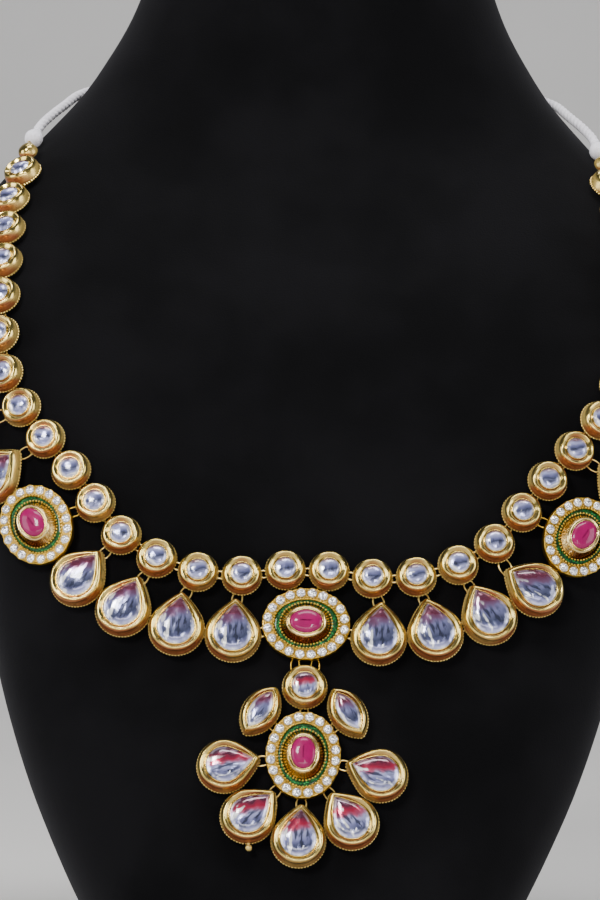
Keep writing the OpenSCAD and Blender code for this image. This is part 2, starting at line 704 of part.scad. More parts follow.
function leaf_frame(side) =
    let(a = side * leaf_turn, far = medallion_edge(a) + petal_gap + leaf_width / 2)
    turned(shifted(pendant_frame, far * sin(a), far * cos(a)), a - side * (90 - leaf_swing));
function leaf_link(side) =
    link_ends(leaf_frame(side), leaf_width / 2 - 1.3, pendant_frame, medallion_edge(leaf_turn) - eye_inset);
function petal_link(k) =
    let(f = petal_frame(k), post = f[0] + f[2] * (petal_tip - tip_eye_inset) + f[3] * eye_height,
        reach = medallion_edge(petal_angle(k)) - eye_inset)
    [[post, f[3]], [eye_spot(pendant_frame, post, reach), pendant_frame[3]]];

module connector() {
    color(gold) {
        on(connector_frame)
            cup(circle_arcs(connector_width / 2), round_rim)
                circle(connector_width / 2 - round_rim, $fn = 96);
        link_ring(pendant_link);
        for (side = [-1, 1])
            link_eye(hang_link(side));
    }
}

module connector_stone() {
    r = connector_width / 2 - round_rim - stone_fit;
    color(crystal)
        on(connector_frame)
            round_stone(r);
}

leaf_rim = 2;
leaf_tip_rim = 1.9;
module leaf(side) {
    color(gold) {
        on(leaf_frame(side))
            cup(leaf_arcs(leaf_length / 2, leaf_width / 2), leaf_rim)
                polygon(leaf_points(leaf_length / 2 - leaf_tip_rim, leaf_width / 2 - leaf_rim, 0));
        link_ring(leaf_link(side));
    }
}

module leaf_stones() {
    half = leaf_length / 2 - leaf_tip_rim;
    r = leaf_width / 2 - leaf_rim;
    color(crystal)
        for (side = [-1, 1])
            on(leaf_frame(side))
                stone(leaf_points(half, r, stone_fit), leaf_points(half, r, leaf_width * crown_share),
                      stone_low, stone_middle, stone_top + leaf_crown);
}

module petal(k) {
    color(gold) {
        on(petal_frame(k))
            drop(petal_width, petal_tip);
        link_ring(petal_link(k));
    }
}

module petal_stones() {
    color(crystal)
        for (k = [1:petal_count])
            on(petal_frame(k))
                drop_stone(petal_width, petal_tip);
}

// The end bead, with a ring on its far side that the white cord is knotted to.
bead_dome = [[0.5, 0], [0, 0.2], [0, 0.5], [0.1, 0.75], [0.25, 0.9], [0.4, 1]];
cord_start = cord_route[0];
function knot_root(side) =
    let(f = end_frame(side)) f[0] + f[3] * (plate_lift + rim_height) / 2;
function knot_way(side) = unit(mirrored(cord_start, side) - knot_root(side));
end_ring = 1.1;
function knot_from(side) = knot_root(side) + knot_way(side) * (end_width / 2 + 2 * end_ring + wire);
module end_bead(side) {
    f = end_frame(side);
    way = knot_way(side);
    color(gold) {
        on(f)
            round_about(circle_arcs(end_width / 2), concat(
                [for (p = bead_dome) [p.x * end_width / 2, plate_lift + p.y * (rim_height - plate_lift)]],
                [[full, rim_height], [full, plate_lift]]));
        link_ring(end_link(side));
        torus(knot_root(side) + way * (end_width / 2 + end_ring - wire / 2),
              unit(cross(way, f[3])), end_ring);
    }
}

// The knot is a teardrop of wound thread, widest near the bead.
knot_shape = [[0.35, 0], [0.85, 0.12], [1, 0.3], [0.92, 0.5], [0.7, 0.72], [0.5, 0.9], [0.45, 1]];
knot_width = 5;
module knot(side) {
    start = knot_from(side) + knot_way(side) * bust_gap;
    end = mirrored(cord_start, side);
    way = unit(end - start);
    side_way = unit(cross(way, [0, 0, 1]));
    color(white)
        on([start, side_way, cross(way, side_way), way])
            rotate_extrude($fn = 48)
                polygon(concat([[0, 0]],
                    [for (p = knot_shape) [p.x * knot_width / 2, p.y * norm(end - start)]],
                    [[0, norm(end - start)]]));
}

// The cord is swept along its route with a ring every two or three widths.
cord_sides = 8;
function cord_point(i, t) =
    let(n = len(cord_route) - 1, b = cord_route[i], c = cord_route[i + 1],
        a = i > 0 ? cord_route[i - 1] : b - (knot_way(1) * norm(c - b)),
        d = i < n - 1 ? cord_route[i + 2] : c + [-norm(c - b), 0, 0])
    0.5 * (2 * b + (c - a) * t + (2 * a - 5 * b + 4 * c - d) * t ^ 2 + (3 * b - a - 3 * c + d) * t ^ 3);
cord_line = concat([for (i = [0:len(cord_route) - 2], t = [0, 0.5]) cord_point(i, t)], [last(cord_route)]);
function cord_way(k) =
    k == 0 ? knot_way(1) : k == len(cord_line) - 1 ? [-1, 0, 0] : unit(cord_line[k + 1] - cord_line[k - 1]);
function cord_ring(k) =
    let(w = cord_way(k), u = unit(flat([0, 0, 1], w)), v = cross(w, u))
    [for (i = [0:cord_sides - 1])
        let(a = i * 360 / cord_sides) cord_line[k] + (u * cos(a) + v * sin(a)) * cord_width / 2];
module cord(side) {
    points = [for (k = [0:len(cord_line) - 1], p = cord_ring(k)) p];
    color(white)
        mirror([side > 0 ? 0 : 1, 0, 0])
            polyhedron(points, tube_faces(cord_sides, len(cord_line)));
}

// A plain slider that both ends of the cord go into.
module clasp() {
    end = last(cord_route);
    color(gold)
        translate([-end.x, end.y, end.z])
            rotate([0, 90, 0])
                cylinder(d = clasp_width, h = 2 * end.x, $fn = 48);
}

bust();
centre_medallion();
side_medallion(-1);  // left_medallion
side_medallion(1);  // right_medallion
pendant_medallion();
ruby_at(medallion_frame(0), false);  // centre_ruby
ruby_at(medallion_frame(-1), false);  // left_ruby
ruby_at(medallion_frame(1), false);  // right_ruby
ruby_at(pendant_frame, true);  // pendant_ruby
halo_at(medallion_frame(0), false);  // centre_halo
halo_at(medallion_frame(-1), false);  // left_halo
halo_at(medallion_frame(1), false);  // right_halo
halo_at(pendant_frame, true);  // pendant_halo
enamel_rings();
for (k = [1:drop_count]) {
    front_drop(-1, k - 1);
    front_drop(1, k - 1);
    front_stone(-1, k - 1);
    front_stone(1, k - 1);
}
round_row(-1);  // left_round_row
round_row(1);  // right_round_row
round_stones(-1);  // left_round_stones
round_stones(1);  // right_round_stones
shoulder_drops(-1);  // left_shoulder_drops
shoulder_drops(1);  // right_shoulder_drops
shoulder_stones(-1);  // left_shoulder_stones
shoulder_stones(1);  // right_shoulder_stones
connector();
connector_stone();
leaf(-1);  // left_leaf
leaf(1);  // right_leaf
leaf_stones();
for (k = [1:petal_count])
    petal(k);
petal_stones();
end_bead(-1);  // left_end
end_bead(1);  // right_end
knot(-1);  // left_knot
knot(1);  // right_knot
cord(-1);  // left_cord
cord(1);  // right_cord
clasp();
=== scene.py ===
"""A kundan necklace lying on its plain black velvet neck bust."""
import math

import bmesh
import bpy
import numpy as np
from mathutils import Matrix, Vector


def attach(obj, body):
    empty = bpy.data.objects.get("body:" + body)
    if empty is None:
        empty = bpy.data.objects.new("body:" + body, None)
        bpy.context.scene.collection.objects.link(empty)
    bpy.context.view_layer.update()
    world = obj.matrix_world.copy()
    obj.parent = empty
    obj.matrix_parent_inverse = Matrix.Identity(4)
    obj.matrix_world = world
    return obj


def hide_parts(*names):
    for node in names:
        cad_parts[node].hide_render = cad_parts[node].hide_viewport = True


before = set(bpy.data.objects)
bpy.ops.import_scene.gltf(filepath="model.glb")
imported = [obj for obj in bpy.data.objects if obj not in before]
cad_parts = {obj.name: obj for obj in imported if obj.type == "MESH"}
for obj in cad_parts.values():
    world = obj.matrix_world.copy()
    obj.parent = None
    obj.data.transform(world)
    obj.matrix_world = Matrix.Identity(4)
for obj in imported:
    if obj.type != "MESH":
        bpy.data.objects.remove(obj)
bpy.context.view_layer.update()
mm = 0.001

# The camera looks level at the chest of the bust from about 0.9 m, as a short telephoto does,
# and is turned a little about its own line of sight.
camera_at = Vector((-2.5, -952.6, 137.5))
camera_roll = 1.3


def shown(name, data):
    """An object added to the scene."""
    made = bpy.data.objects.new(name, data)
    bpy.context.scene.collection.objects.link(made)
    return made


camera = shown("camera", bpy.data.cameras.new("camera"))
camera.data.lens = 144
camera.data.sensor_width = 36
camera.data.clip_end = 20
camera.matrix_world = (
    Matrix.Translation(camera_at * mm)
    @ Matrix.Rotation(math.radians(90), 4, "X")
    @ Matrix.Rotation(math.radians(camera_roll), 4, "Z"))
bpy.context.scene.camera = camera


# Cords: soft white cotton, three strands twisted together, about 2.6 mm thick. Each side's cord
# leaves the knot at the end of its row and goes round the nape to the slider.
sides = (("left", -1), ("right", 1))
cord_width = 2.6
cord_route = [
    (76, 27.5, 222.5), (74, 35, 226.5), (70, 46, 231.5), (66, 58, 236), (58, 71.5, 239.5),
    (45.5, 80.5, 241), (33, 84, 241.5), (22, 85, 241.5), (13, 86, 241.5), (6, 86.5, 241.5)]
knot_way = Vector((-0.1, 0.72, 0.69)).normalized()
strand_turn, strand_dent = 7, 0.16


class Value:
    """A number that changes over a surface. Arithmetic on it adds the Math nodes."""

    def __init__(self, look, socket):
        self.look, self.socket = look, socket

    def math(self, kind, first, second=0.0):
        node = self.look.node("ShaderNodeMath", {"operation": kind}, {0: first, 1: second})
        return Value(self.look, node.outputs[0])

    def __add__(self, other):
        return self.math("ADD", self, other)

    def __sub__(self, other):
        return self.math("SUBTRACT", self, other)

    def __rsub__(self, other):
        return self.math("SUBTRACT", other, self)

    def __mul__(self, other):
        return self.math("MULTIPLY", self, other)

    __radd__ = __add__
    __rmul__ = __mul__


class Look:
    """A material. Constants go on the shader's own sockets."""

    def __init__(self, name, **constants):
        self.material = bpy.data.materials.new(name)
        self.material.use_nodes = True
        self.tree = self.material.node_tree
        self.shader = self.tree.nodes["Principled BSDF"]
        for socket, value in constants.items():
            self.shader.inputs[socket.replace("_", " ")].default_value = value

    def node(self, kind, settings=None, values=None):
        made = self.tree.nodes.new(kind)
        for name, value in (settings or {}).items():
            if name == "stops":
                stops = made.color_ramp.elements
                while len(stops) < len(value):
                    stops.new(1.0)
                for stop, (place, tone) in zip(stops, value):
                    stop.position, stop.color = place, tone
            else:
                setattr(made, name, value)
        for name, value in (values or {}).items():
            self.join(value, made.inputs[name])
        return made

    def join(self, value, socket):
        if isinstance(value, Value):
            value = value.socket
        if isinstance(value, bpy.types.NodeSocket):
            self.tree.links.new(value, socket)
        else:
            socket.default_value = value

    def wear(self, **links):
        for socket, value in links.items():
            self.join(value, self.shader.inputs[socket.replace("_", " ")])

    def here(self):
        return self.node("ShaderNodeTexCoord").outputs["Object"]

    def noise(self, scale, detail=3.0, place=None):
        node = self.node("ShaderNodeTexNoise", {}, {
            "Vector": place or self.here(), "Scale": scale, "Detail": detail})
        return Value(self, node.outputs[0])

    def cells(self, scale, place=None):
        node = self.node("ShaderNodeTexVoronoi", {}, {"Vector": place or self.here(), "Scale": scale})
        return Value(self, node.outputs["Distance"])

    def local(self, name="spot"):
        """Where a point lies on its own setting: right, up and out, in millimetres."""
        held = self.node("ShaderNodeAttribute", {"attribute_name": name})
        parts = self.node("ShaderNodeSeparateXYZ", {}, {0: held.outputs["Vector"]})
        return [Value(self, out) for out in parts.outputs], held.outputs["Vector"]

    def facing(self):
        """How far a point of the surface faces up, from -1 to 1."""
        normal = self.node("ShaderNodeNewGeometry").outputs["Normal"]
        return Value(self, self.node("ShaderNodeSeparateXYZ", {}, {0: normal}).outputs[2])

    def step(self, value, low, high):
        node = self.node("ShaderNodeMapRange", {"interpolation_type": "SMOOTHSTEP"}, {
            "Value": value, "From Min": low, "From Max": high})
        return Value(self, node.outputs[0])

    def blend(self, share, first, second):
        node = self.node("ShaderNodeMix", {"data_type": "RGBA"}, {0: share, 6: first, 7: second})
        return node.outputs[2]

    def bump(self, height, depth, strength=1.0, over=None):
        values = {"Strength": strength, "Distance": depth, "Height": height}
        if over is not None:
            values["Normal"] = over
        return self.node("ShaderNodeBump", {}, values).outputs["Normal"]


def shade(*rgb):
    return (*rgb, 1.0)


def smoothed(bm):
    """Smooth faces that all point outwards."""
    bmesh.ops.recalc_face_normals(bm, faces=bm.faces)
    for face in bm.faces:
        face.smooth = True
    return bm


def kept(bm, name):
    """A finished bmesh as a mesh."""
    mesh = bpy.data.meshes.new(name)
    bm.to_mesh(mesh)
    bm.free()
    return mesh


def piece(name, mesh, look, nodes, sharp=None):
    """Turns a finished mesh into a piece that stands for its CAD nodes."""
    if sharp:
        mesh.set_sharp_from_angle(angle=math.radians(sharp))
    mesh.materials.append(look.material)
    made = shown(name, mesh)
    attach(made, "root")
    if nodes:
        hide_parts(*nodes)
    return made


thread = Look("white_thread", Roughness=0.85, Sheen_Weight=0.35, Sheen_Roughness=0.5)
thread.wear(
    Base_Color=thread.blend(thread.noise(420, 3), shade(0.66, 0.64, 0.72), shade(0.87, 0.86, 0.92)),
    Normal=thread.bump(thread.noise(2600, 4), 0.00006))


def smooth_line(points, cuts, before, after):
    """A smooth line through points, with cuts steps to each stretch."""
    held = [before, *points, after]
    line = []
    for i in range(1, len(held) - 2):
        a, b, c, d = held[i - 1:i + 3]
        for k in range(cuts):
            t = k / cuts
            line.append(0.5 * (2 * b + (c - a) * t + (2 * a - 5 * b + 4 * c - d) * t * t
                               + (3 * b - a - 3 * c + d) * t ** 3))
    return line + [points[-1]]


def frame_of(place, up, out):
    """A place with its right, up and outward directions, as a matrix."""
    up = (up - out * up.dot(out)).normalized()
    right = up.cross(out)
    return Matrix((
        (right.x, up.x, out.x, place.x), (right.y, up.y, out.y, place.y),
        (right.z, up.z, out.z, place.z), (0, 0, 0, 1)))


def along(line):
    """A frame at each point of a line, carried along it without turning about it."""
    frames = []
    side = Vector((0, 0, 1))
    for i, point in enumerate(line):
        way = (line[min(i + 1, len(line) - 1)] - line[max(i - 1, 0)]).normalized()
        side = (side - way * side.dot(way)).normalized()
        frames.append(frame_of(point, way.cross(side), way))
    return frames


def strand_tube(line, radius, strands, turn_length, dent, around=24):
    """Extrudes a ring of strands along a line, turning it as twisted thread turns."""
    bm = bmesh.new()
    frames = along(line)
    ring = bmesh.ops.create_circle(bm, segments=around, radius=radius)["verts"]
    for vert in ring:
        angle = math.atan2(vert.co.y, vert.co.x)
        vert.co *= 1 - dent * (1 - abs(math.cos(angle * strands / 2)))
    start = [vert.co.copy() for vert in ring]
    went = 0
    edges = bm.edges[:]
    bmesh.ops.contextual_create(bm, geom=edges)
    for i, place in enumerate(frames):
        if i:
            went += (line[i] - line[i - 1]).length
            grown = bmesh.ops.extrude_edge_only(bm, edges=edges)["geom"]
            edges = [e for e in grown if isinstance(e, bmesh.types.BMEdge)]
            ring = [v for v in grown if isinstance(v, bmesh.types.BMVert)]
        turned = place @ Matrix.Rotation(went / turn_length * math.tau, 4, "Z")
        for vert, local in zip(ring, start):
            vert.co = turned @ local
    bmesh.ops.contextual_create(bm, geom=edges)
    return smoothed(bm)


cords = {}
cord_lines = {}
for side_name, side in sides:
    points = [Vector((x * side, y, z)) * mm for x, y, z in cord_route]
    way = Vector((knot_way.x * side, knot_way.y, knot_way.z))
    line = smooth_line(points, 30, points[0] - way * (points[1] - points[0]).length,
                       points[-1] + Vector((-side * 7 * mm, 0, 0)))
    cord_lines[side_name] = line
    name = side_name + "_cord_thread"
    tube = strand_tube(line, cord_width / 2 * mm, 3, strand_turn * mm, strand_dent)
    cords[side_name] = piece(name, kept(tube, name), thread, [side_name + "_cord"])


# The neck bust: a hollow moulded form covered with plain black cotton velvet that is glued on
# under tension, so its pile lies close and shows only soft brushed patches.
velvet = Look("black_velvet", Roughness=0.95, Sheen_Weight=0.06, Sheen_Roughness=0.5,
              Sheen_Tint=shade(0.5, 0.5, 0.56), Specular_IOR_Level=0.06)
brushed = velvet.step(velvet.noise(26, 4), 0.35, 0.7)
velvet.wear(
    Base_Color=velvet.blend(brushed, shade(0.0012, 0.0012, 0.0015), shade(0.0034, 0.0033, 0.004)),
    Normal=velvet.bump(velvet.noise(2400, 2), 0.00012, 0.7))

bm = bmesh.new()
bm.from_mesh(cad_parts["bust"].data)
bmesh.ops.remove_doubles(bm, verts=bm.verts, dist=1e-6)
bmesh.ops.dissolve_limit(bm, angle_limit=math.radians(0.05), verts=bm.verts, edges=bm.edges)
caps = [f for f in bm.faces if abs(f.normal.z) > 0.999 and len(f.verts) > 8]
bmesh.ops.delete(bm, geom=caps, context="FACES_ONLY")
bmesh.ops.join_triangles(bm, faces=bm.faces, angle_face_threshold=3.2, angle_shape_threshold=3.2)
bmesh.ops.subdivide_edges(bm, edges=bm.edges, cuts=2, use_grid_fill=True, smooth=1.0, smooth_falloff="LINEAR")
bmesh.ops.holes_fill(bm, edges=[e for e in bm.edges if e.is_boundary], sides=0)
piece("velvet_bust", kept(smoothed(bm), "velvet_bust"), velvet, ["bust"], sharp=50)


# Round settings: hollow cups of plated brass, each pressed with a domed rim, a bright inner lip and
# a fine beaded foot. Sixteen a side are linked by small wire rings behind them.
gold = Look("champagne_gold", Coat_Weight=0.1, Coat_Roughness=0.05)
patch = gold.noise(330, 3)
bright = gold.blend(patch, shade(0.46, 0.34, 0.07), shade(0.86, 0.66, 0.22))
# Painted reflection of a red cloth below: a dark red-brown for the gold faces that look down.
red_reflection_tone = gold.blend(patch, shade(0.15, 0.025, 0.012), shade(0.36, 0.085, 0.03))
(_, _, above), _ = gold.local()
# The painted red reflection comes in patches, so some cups take more of it than others.
red_reflection_patches = 0.55 + 0.45 * gold.step(gold.noise(85, 1), 0.34, 0.5)
red_reflection_mask = gold.step(gold.facing() * -1, 0.08, 0.42) * gold.step(above, 1.6, 2.1) * red_reflection_patches
# The lower wall of each cup is tinted amber as a painted warm reflection of the cloth below; it is also
# rougher and less metallic.
wall = 1 - gold.step(above, 3.2, 4.5)
gold_with_wall_reflection = gold.blend(wall * 0.6, bright, shade(0.6, 0.41, 0.12))
gold.wear(
    Base_Color=gold.blend(red_reflection_mask * 0.9, gold_with_wall_reflection, red_reflection_tone),
    Metallic=1 - 0.4 * wall - 0.22 * red_reflection_mask,
    Roughness=0.1 + 0.14 * gold.noise(700, 3) + 0.12 * wall,
    Normal=gold.bump(gold.noise(520, 2), 0.00006, 0.8, gold.bump(gold.noise(3200, 2), 0.000012, 0.5)))

plate_lift = 1.2
rim_height = 5.0
seat_height = 2.4
stone_low = 2.52
round_width, round_rim = 10, 2.35
connector_width = 11
wire = 0.4
wire_fit = 0.15
eye_inset = 1.0
eye_height = plate_lift - wire / 2 - wire_fit - 0.1
eye_radius = wire + wire_fit
ring_squeeze = 0.62
link_spot = 2.1
cup_crease = 40


def islands(node):
    """The loose solids of a CAD node, each as the list of its flat faces, read from a merged copy."""
    bm = bmesh.new()
    bm.from_mesh(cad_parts[node].data)
    bmesh.ops.remove_doubles(bm, verts=bm.verts, dist=1e-6)
    bmesh.ops.dissolve_limit(bm, angle_limit=math.radians(0.5), verts=bm.verts, edges=bm.edges)
    left = set(bm.verts)
    found = []
    while left:
        group, front = set(), [left.pop()]
        while front:
            vert = front.pop()
            group.add(vert)
            for edge in vert.link_edges:
                other = edge.other_vert(vert)
                if other in left:
                    left.discard(other)
                    front.append(other)
        found.append(list({f for v in group for f in v.link_faces}))
    return bm, found


def seats(node, reach=None, low=stone_low, lies=None):
    """The frames of a node's settings, from the flat underside and the tip of each stone. A stone with
    two ends lies level, with its length along the frame's right, or upright, with it along its up."""
    bm, found = islands(node)
    frames = []
    for faces in found:
        under = max(faces, key=lambda f: f.calc_area())
        out = -under.normal.normalized()
        corners = [v.co.copy() for v in under.verts]
        place = sum(corners, Vector()) / len(corners)
        tip = max(corners, key=lambda c: (c - place).length)
        up = Vector((0, -0.2, 1))
        if lies:
            up = tip - place if lies == "upright" else out.cross(tip - place)
            up = -up if up.z < 0 else up
        elif reach:
            up = (tip - place).normalized()
            place = tip - up * reach * mm
        frames.append(frame_of(place - out * low * mm, up, out))
    bm.free()
    return sorted(frames, key=lambda f: (round(f.translation.x, 4), f.translation.z))


def in_order(frames, start):
    """Frames sorted into a chain, each nearest to the one before, from the one nearest a point."""
    left = list(frames)
    chain = []
    here = Vector(start)
    while left:
        nearest = min(left, key=lambda f: (f.translation - here).length)
        left.remove(nearest)
        chain.append(nearest)
        here = nearest.translation
    return chain


def dense(profile, cuts=3):
    """A smooth line through a profile's points, each an inset and a height."""
    points = [Vector((x, z, 0)) for x, z in profile]
    line = smooth_line(points, cuts, 2 * points[0] - points[1], 2 * points[-1] - points[-2])
    return [(p.x, p.y) for p in line]


def arc_loop(bm, start, arcs, height):
    """One closed outline: a vertex spun through its arcs, each a middle, a sweep and its steps."""
    vert = bm.verts.new((start[0] * mm, start[1] * mm, height * mm))
    first = vert
    for (x, y), sweep, steps in arcs:
        made = bmesh.ops.spin(
            bm, geom=[vert], cent=(x * mm, y * mm, height * mm), axis=(0, 0, 1), angle=sweep,
            steps=steps, use_merge=False, use_duplicate=False)
        vert = next(g for g in made["geom_last"] if isinstance(g, bmesh.types.BMVert))
    bmesh.ops.weld_verts(bm, targetmap={vert: first})
    seen, edges, at = set(), [], first
    while True:
        step = next((e for e in at.link_edges if e not in seen and not e.link_faces), None)
        if step is None:
            return edges
        seen.add(step)
        edges.append(step)
        at = step.other_vert(at)


def corners_of(loop):
    """The points of a closed outline, in order."""
    pairs = zip(loop, loop[1:] + loop[:1])
    return [(set(edge.verts) & set(following.verts)).pop().co.copy() for edge, following in pairs]


def shell(levels, roof=True, closed=False):
    """Bridges outlines into one closed shell. Each level is an outline, an inset and a height; they are
    bridged as an upright stack, and then each level goes to its height."""
    bm = bmesh.new()
    loops = [arc_loop(bm, *outline(inset), level) for level, (outline, inset, _) in enumerate(levels)]
    for lower, upper in zip(loops, loops[1:] + (loops[:1] if closed else [])):
        bmesh.ops.bridge_loops(bm, edges=lower + upper)
    if roof:
        bmesh.ops.contextual_create(bm, geom=loops[0])
        bmesh.ops.contextual_create(bm, geom=loops[-1])
    for vert in bm.verts:
        vert.co.z = levels[round(vert.co.z / mm)][2] * mm
    bmesh.ops.recalc_face_normals(bm, faces=bm.faces)
    for face in bm.faces:
        face.smooth = len(face.verts) == 4
    return bm


def levels_of(outline, profile):
    return [(outline, inset, height) for inset, height in profile]


def circle(radius):
    return lambda inset: ((radius - inset, 0), [((0, 0), math.tau, 48)])


def beads(outline, inset, height, radius, spacing):
    """A line of small gold grains along an outline."""
    bm = bmesh.new()
    corners = corners_of(arc_loop(bm, *outline(inset), height))
    bmesh.ops.delete(bm, geom=bm.verts, context="VERTS")
    total = sum((b - a).length for a, b in zip(corners, corners[1:] + corners[:1]))
    count = round(total / (spacing * mm))
    gap, due = total / count, 0.0
    for a, b in zip(corners, corners[1:] + corners[:1]):
        length = (b - a).length
        while due < length - 1e-9 and count:
            place = Matrix.Translation(a.lerp(b, due / length))
            bmesh.ops.create_icosphere(bm, subdivisions=1, radius=radius * mm, matrix=place)
            due += gap
            count -= 1
        due -= length
    return smoothed(bm)


def wire_ring(middle, axis, radius, thick=wire / 2, steps=20, around=8, across=None, squeeze=1.0):
    """A closed ring of bent wire, in metres, squeezed to an oval across its length."""
    bm = bmesh.new()
    side = axis.cross(Vector((0, 0, 1)) if abs(axis.z) < 0.9 else Vector((1, 0, 0))).normalized()
    place = frame_of(middle + side * radius, side, axis.cross(side))
    made = bmesh.ops.create_circle(bm, segments=around, radius=thick * mm, matrix=place)["verts"]
    bmesh.ops.spin(bm, geom=made + bm.edges[:], cent=middle, axis=axis, angle=math.tau, steps=steps,
                   use_merge=True, use_duplicate=False)
    for vert in bm.verts if across else ():
        from_middle = vert.co - middle
        spoke = (from_middle - axis * from_middle.dot(axis)).normalized()
        vert.co -= across * spoke.dot(across) * radius * (1 - squeeze)
    return smoothed(bm)


def joined(name, units, links, look, nodes, sharp=None):
    """One piece from units set at their frames and link rings. Each point keeps its place on its own
    unit in millimetres ("spot"), and how far it lies across the unit's own box ("rise")."""
    bm = bmesh.new()
    spots, rises = [], []
    rings = [(kept(wire_ring(*ring), "ring"), None) for ring in links]
    for mesh, place in units + rings:
        copy = mesh.copy()
        if place is not None:
            copy.transform(place)
        bm.from_mesh(copy)
        world = np.zeros(len(copy.vertices) * 3)
        copy.vertices.foreach_get("co", world)
        local = np.zeros(len(world))
        mesh.vertices.foreach_get("co", local)
        local = local.reshape(-1, 3) / mm
        spots.append(np.full_like(local, link_spot) if place is None else local)
        low, high = world.reshape(-1, 3).min(axis=0), world.reshape(-1, 3).max(axis=0)
        rises.append((world.reshape(-1, 3) - low) / (high - low))
        bpy.data.meshes.remove(copy)
    for ring, _ in rings:
        bpy.data.meshes.remove(ring)
    mesh = kept(bm, name)
    for kind, values in (("spot", spots), ("rise", rises)):
        held = mesh.attributes.new(kind, "FLOAT_VECTOR", "POINT")
        held.data.foreach_set("vector", np.concatenate(values).astype(np.float32).ravel())
    return piece(name, mesh, look, nodes, sharp)


def merged(*parts):
    """Units that belong to one setting, made into one."""
    bm = bmesh.new()
    for part in parts:
        mesh = kept(part, "part")
        bm.from_mesh(mesh)
        bpy.data.meshes.remove(mesh)
    return bm


def out_of_frame(place):
    return place.col[2].to_3d()


def eye_spot(place, aim, reach):
    """Where a link leaves a back: at its edge, on the side of what it is linked to."""
    out = out_of_frame(place)
    way = aim - place.translation
    way = (way - out * way.dot(out)).normalized()
    return place.translation + way * reach * mm + out * eye_height * mm


def ring_between(a, b, first, second, squeeze):
    """An oval ring that spans two points and lies flat with the two settings it joins."""
    chord = b - a
    out = (out_of_frame(first) + out_of_frame(second)).normalized()
    flat = (out - chord.normalized() * out.dot(chord.normalized())).normalized()
    return (a + b) / 2, flat, chord.length / 2, wire / 2, 20, 8, flat.cross(chord).normalized(), squeeze


def link(first, reach_first, second, reach_second, post=None):
    """A ring soldered to the first back and the eye on the second that it passes through."""
    a = post or eye_spot(first, second.translation, reach_first)
    b = eye_spot(second, post or first.translation, reach_second)
    ring = ring_between(a, b, first, second, ring_squeeze)
    eye = (b, (b - a).cross(ring[1]).normalized(), eye_radius * mm, wire / 2, 14, 6)
    return [ring, eye]


def dome_of(rim):
    """A pressed rim from the foot of its wall over the crest and down its inner slope."""
    return dense([
        (0.9, plate_lift), (0.3, plate_lift + 0.06), (0.05, plate_lift + 0.4), (0, plate_lift + 0.85),
        (0.04, plate_lift + 1.4), (0.14, plate_lift + 2.05), (0.34, plate_lift + 2.75),
        (0.6, plate_lift + 3.3), (0.86, rim_height - 0.22), (1.08, rim_height - 0.12),
        (1.28, rim_height - 0.2), (rim - 0.45, rim_height - 0.68)])


def lip_of(rim):
    """The thin bright lip that holds the stone, the wall beside the stone and the seat under it."""
    return dense([
        (rim - 0.36, rim_height - 0.76), (rim - 0.28, rim_height - 0.58), (rim - 0.16, rim_height - 0.52),
        (rim - 0.04, rim_height - 0.6), (rim + 0.02, rim_height - 0.84)]) + [
        (rim + 0.05, seat_height + 1), (rim + 0.05, seat_height)]


foot_grain, foot_spacing, foot_inset, foot_rise = 0.34, 0.76, 0.08, 0.32


def footed(cup, edge, name):
    """A cup with the row of grains round its foot."""
    grains = beads(edge, foot_inset, plate_lift + foot_rise, foot_grain, foot_spacing)
    return kept(merged(cup, grains), name)


def round_cup(width):
    edge = circle(width / 2)
    return footed(shell(levels_of(edge, dome_of(round_rim) + lip_of(round_rim))), edge, "round_cup")


round_unit = round_cup(round_width)
connector_unit = round_cup(connector_width)

round_reach = round_width / 2 - eye_inset
chest = Vector((2, -70, 100))
rounds = {}
for side_name, side in sides:
    row_start = (chest.x * side * mm, chest.y * mm, chest.z * mm)
    rounds[side_name] = in_order(seats(side_name + "_round_stones"), row_start)


# Cut stones: flat-backed clear stones over silver foil, domed and cut with a narrow band of facets round
# a broad smooth table. The foil creases beneath them; their grey, lilac and white glints and the rose above
# are painted reflections and highlights.
def crystal(name, tones):
    look = Look(name, Coat_Weight=1.0, Coat_Roughness=0.02, Coat_IOR=1.6)
    (_, _, height), place = look.local()
    (across, _, rise), _ = look.local("rise")
    long_way = look.node("ShaderNodeVectorMath", {"operation": "MULTIPLY"}, {
        0: place, 1: (1.1, 0.28, 1.0)}).outputs[0]
    streak = look.noise(0.75, 3, long_way)
    tone = look.noise(0.42, 1.5, place)
    # Painted reflections up each stone: pale and lilac below, a painted rose reflection of red surroundings
    # at the top, reaching further down on the left, with random tone.
    band = look.node("ShaderNodeValToRGB", {"stops": [(at, shade(*rgb)) for at, rgb in tones]}, {
        "Fac": rise + 0.16 * (0.5 - across) + 0.34 * (tone - 0.5)}).outputs["Color"]
    lower = 1 - look.step(rise, 0.52, 0.72)
    middle = look.step(height, 4.85, 5.2)
    # Painted dark reflection: dark streaks over the lower part, strongest at the middle of the dome.
    dark = (1 - look.step(streak, 0.4, 0.5)) * lower * (0.3 + 0.6 * middle)
    base = look.blend(dark, band, shade(0.03, 0.035, 0.07))
    # Painted highlight: pale lilac-white in patches round the stone's edge, less near its top.
    edge = (1 - look.step(height, 4.45, 4.95)) * (1 - 0.7 * look.step(rise, 0.6, 0.9))
    base = look.blend(edge * look.step(tone, 0.38, 0.52) * 0.85, base, shade(0.72, 0.72, 0.95))
    # Painted glints: small white streaks below the top, more on the left.
    left = 1 - look.step(across, 0.2, 0.5)
    painted_glint = look.step(streak + 0.07 * left, 0.61, 0.66) * (1 - look.step(rise, 0.6, 0.8))
    base = look.blend(painted_glint, base, shade(0.98, 0.98, 1.0))
    look.wear(
        Base_Color=base, Metallic=0.5,
        Roughness=0.1 + 0.18 * streak,
        Normal=look.bump(look.cells(0.5, long_way) + 0.5 * tone, 0.0004, 0.45))
    return look
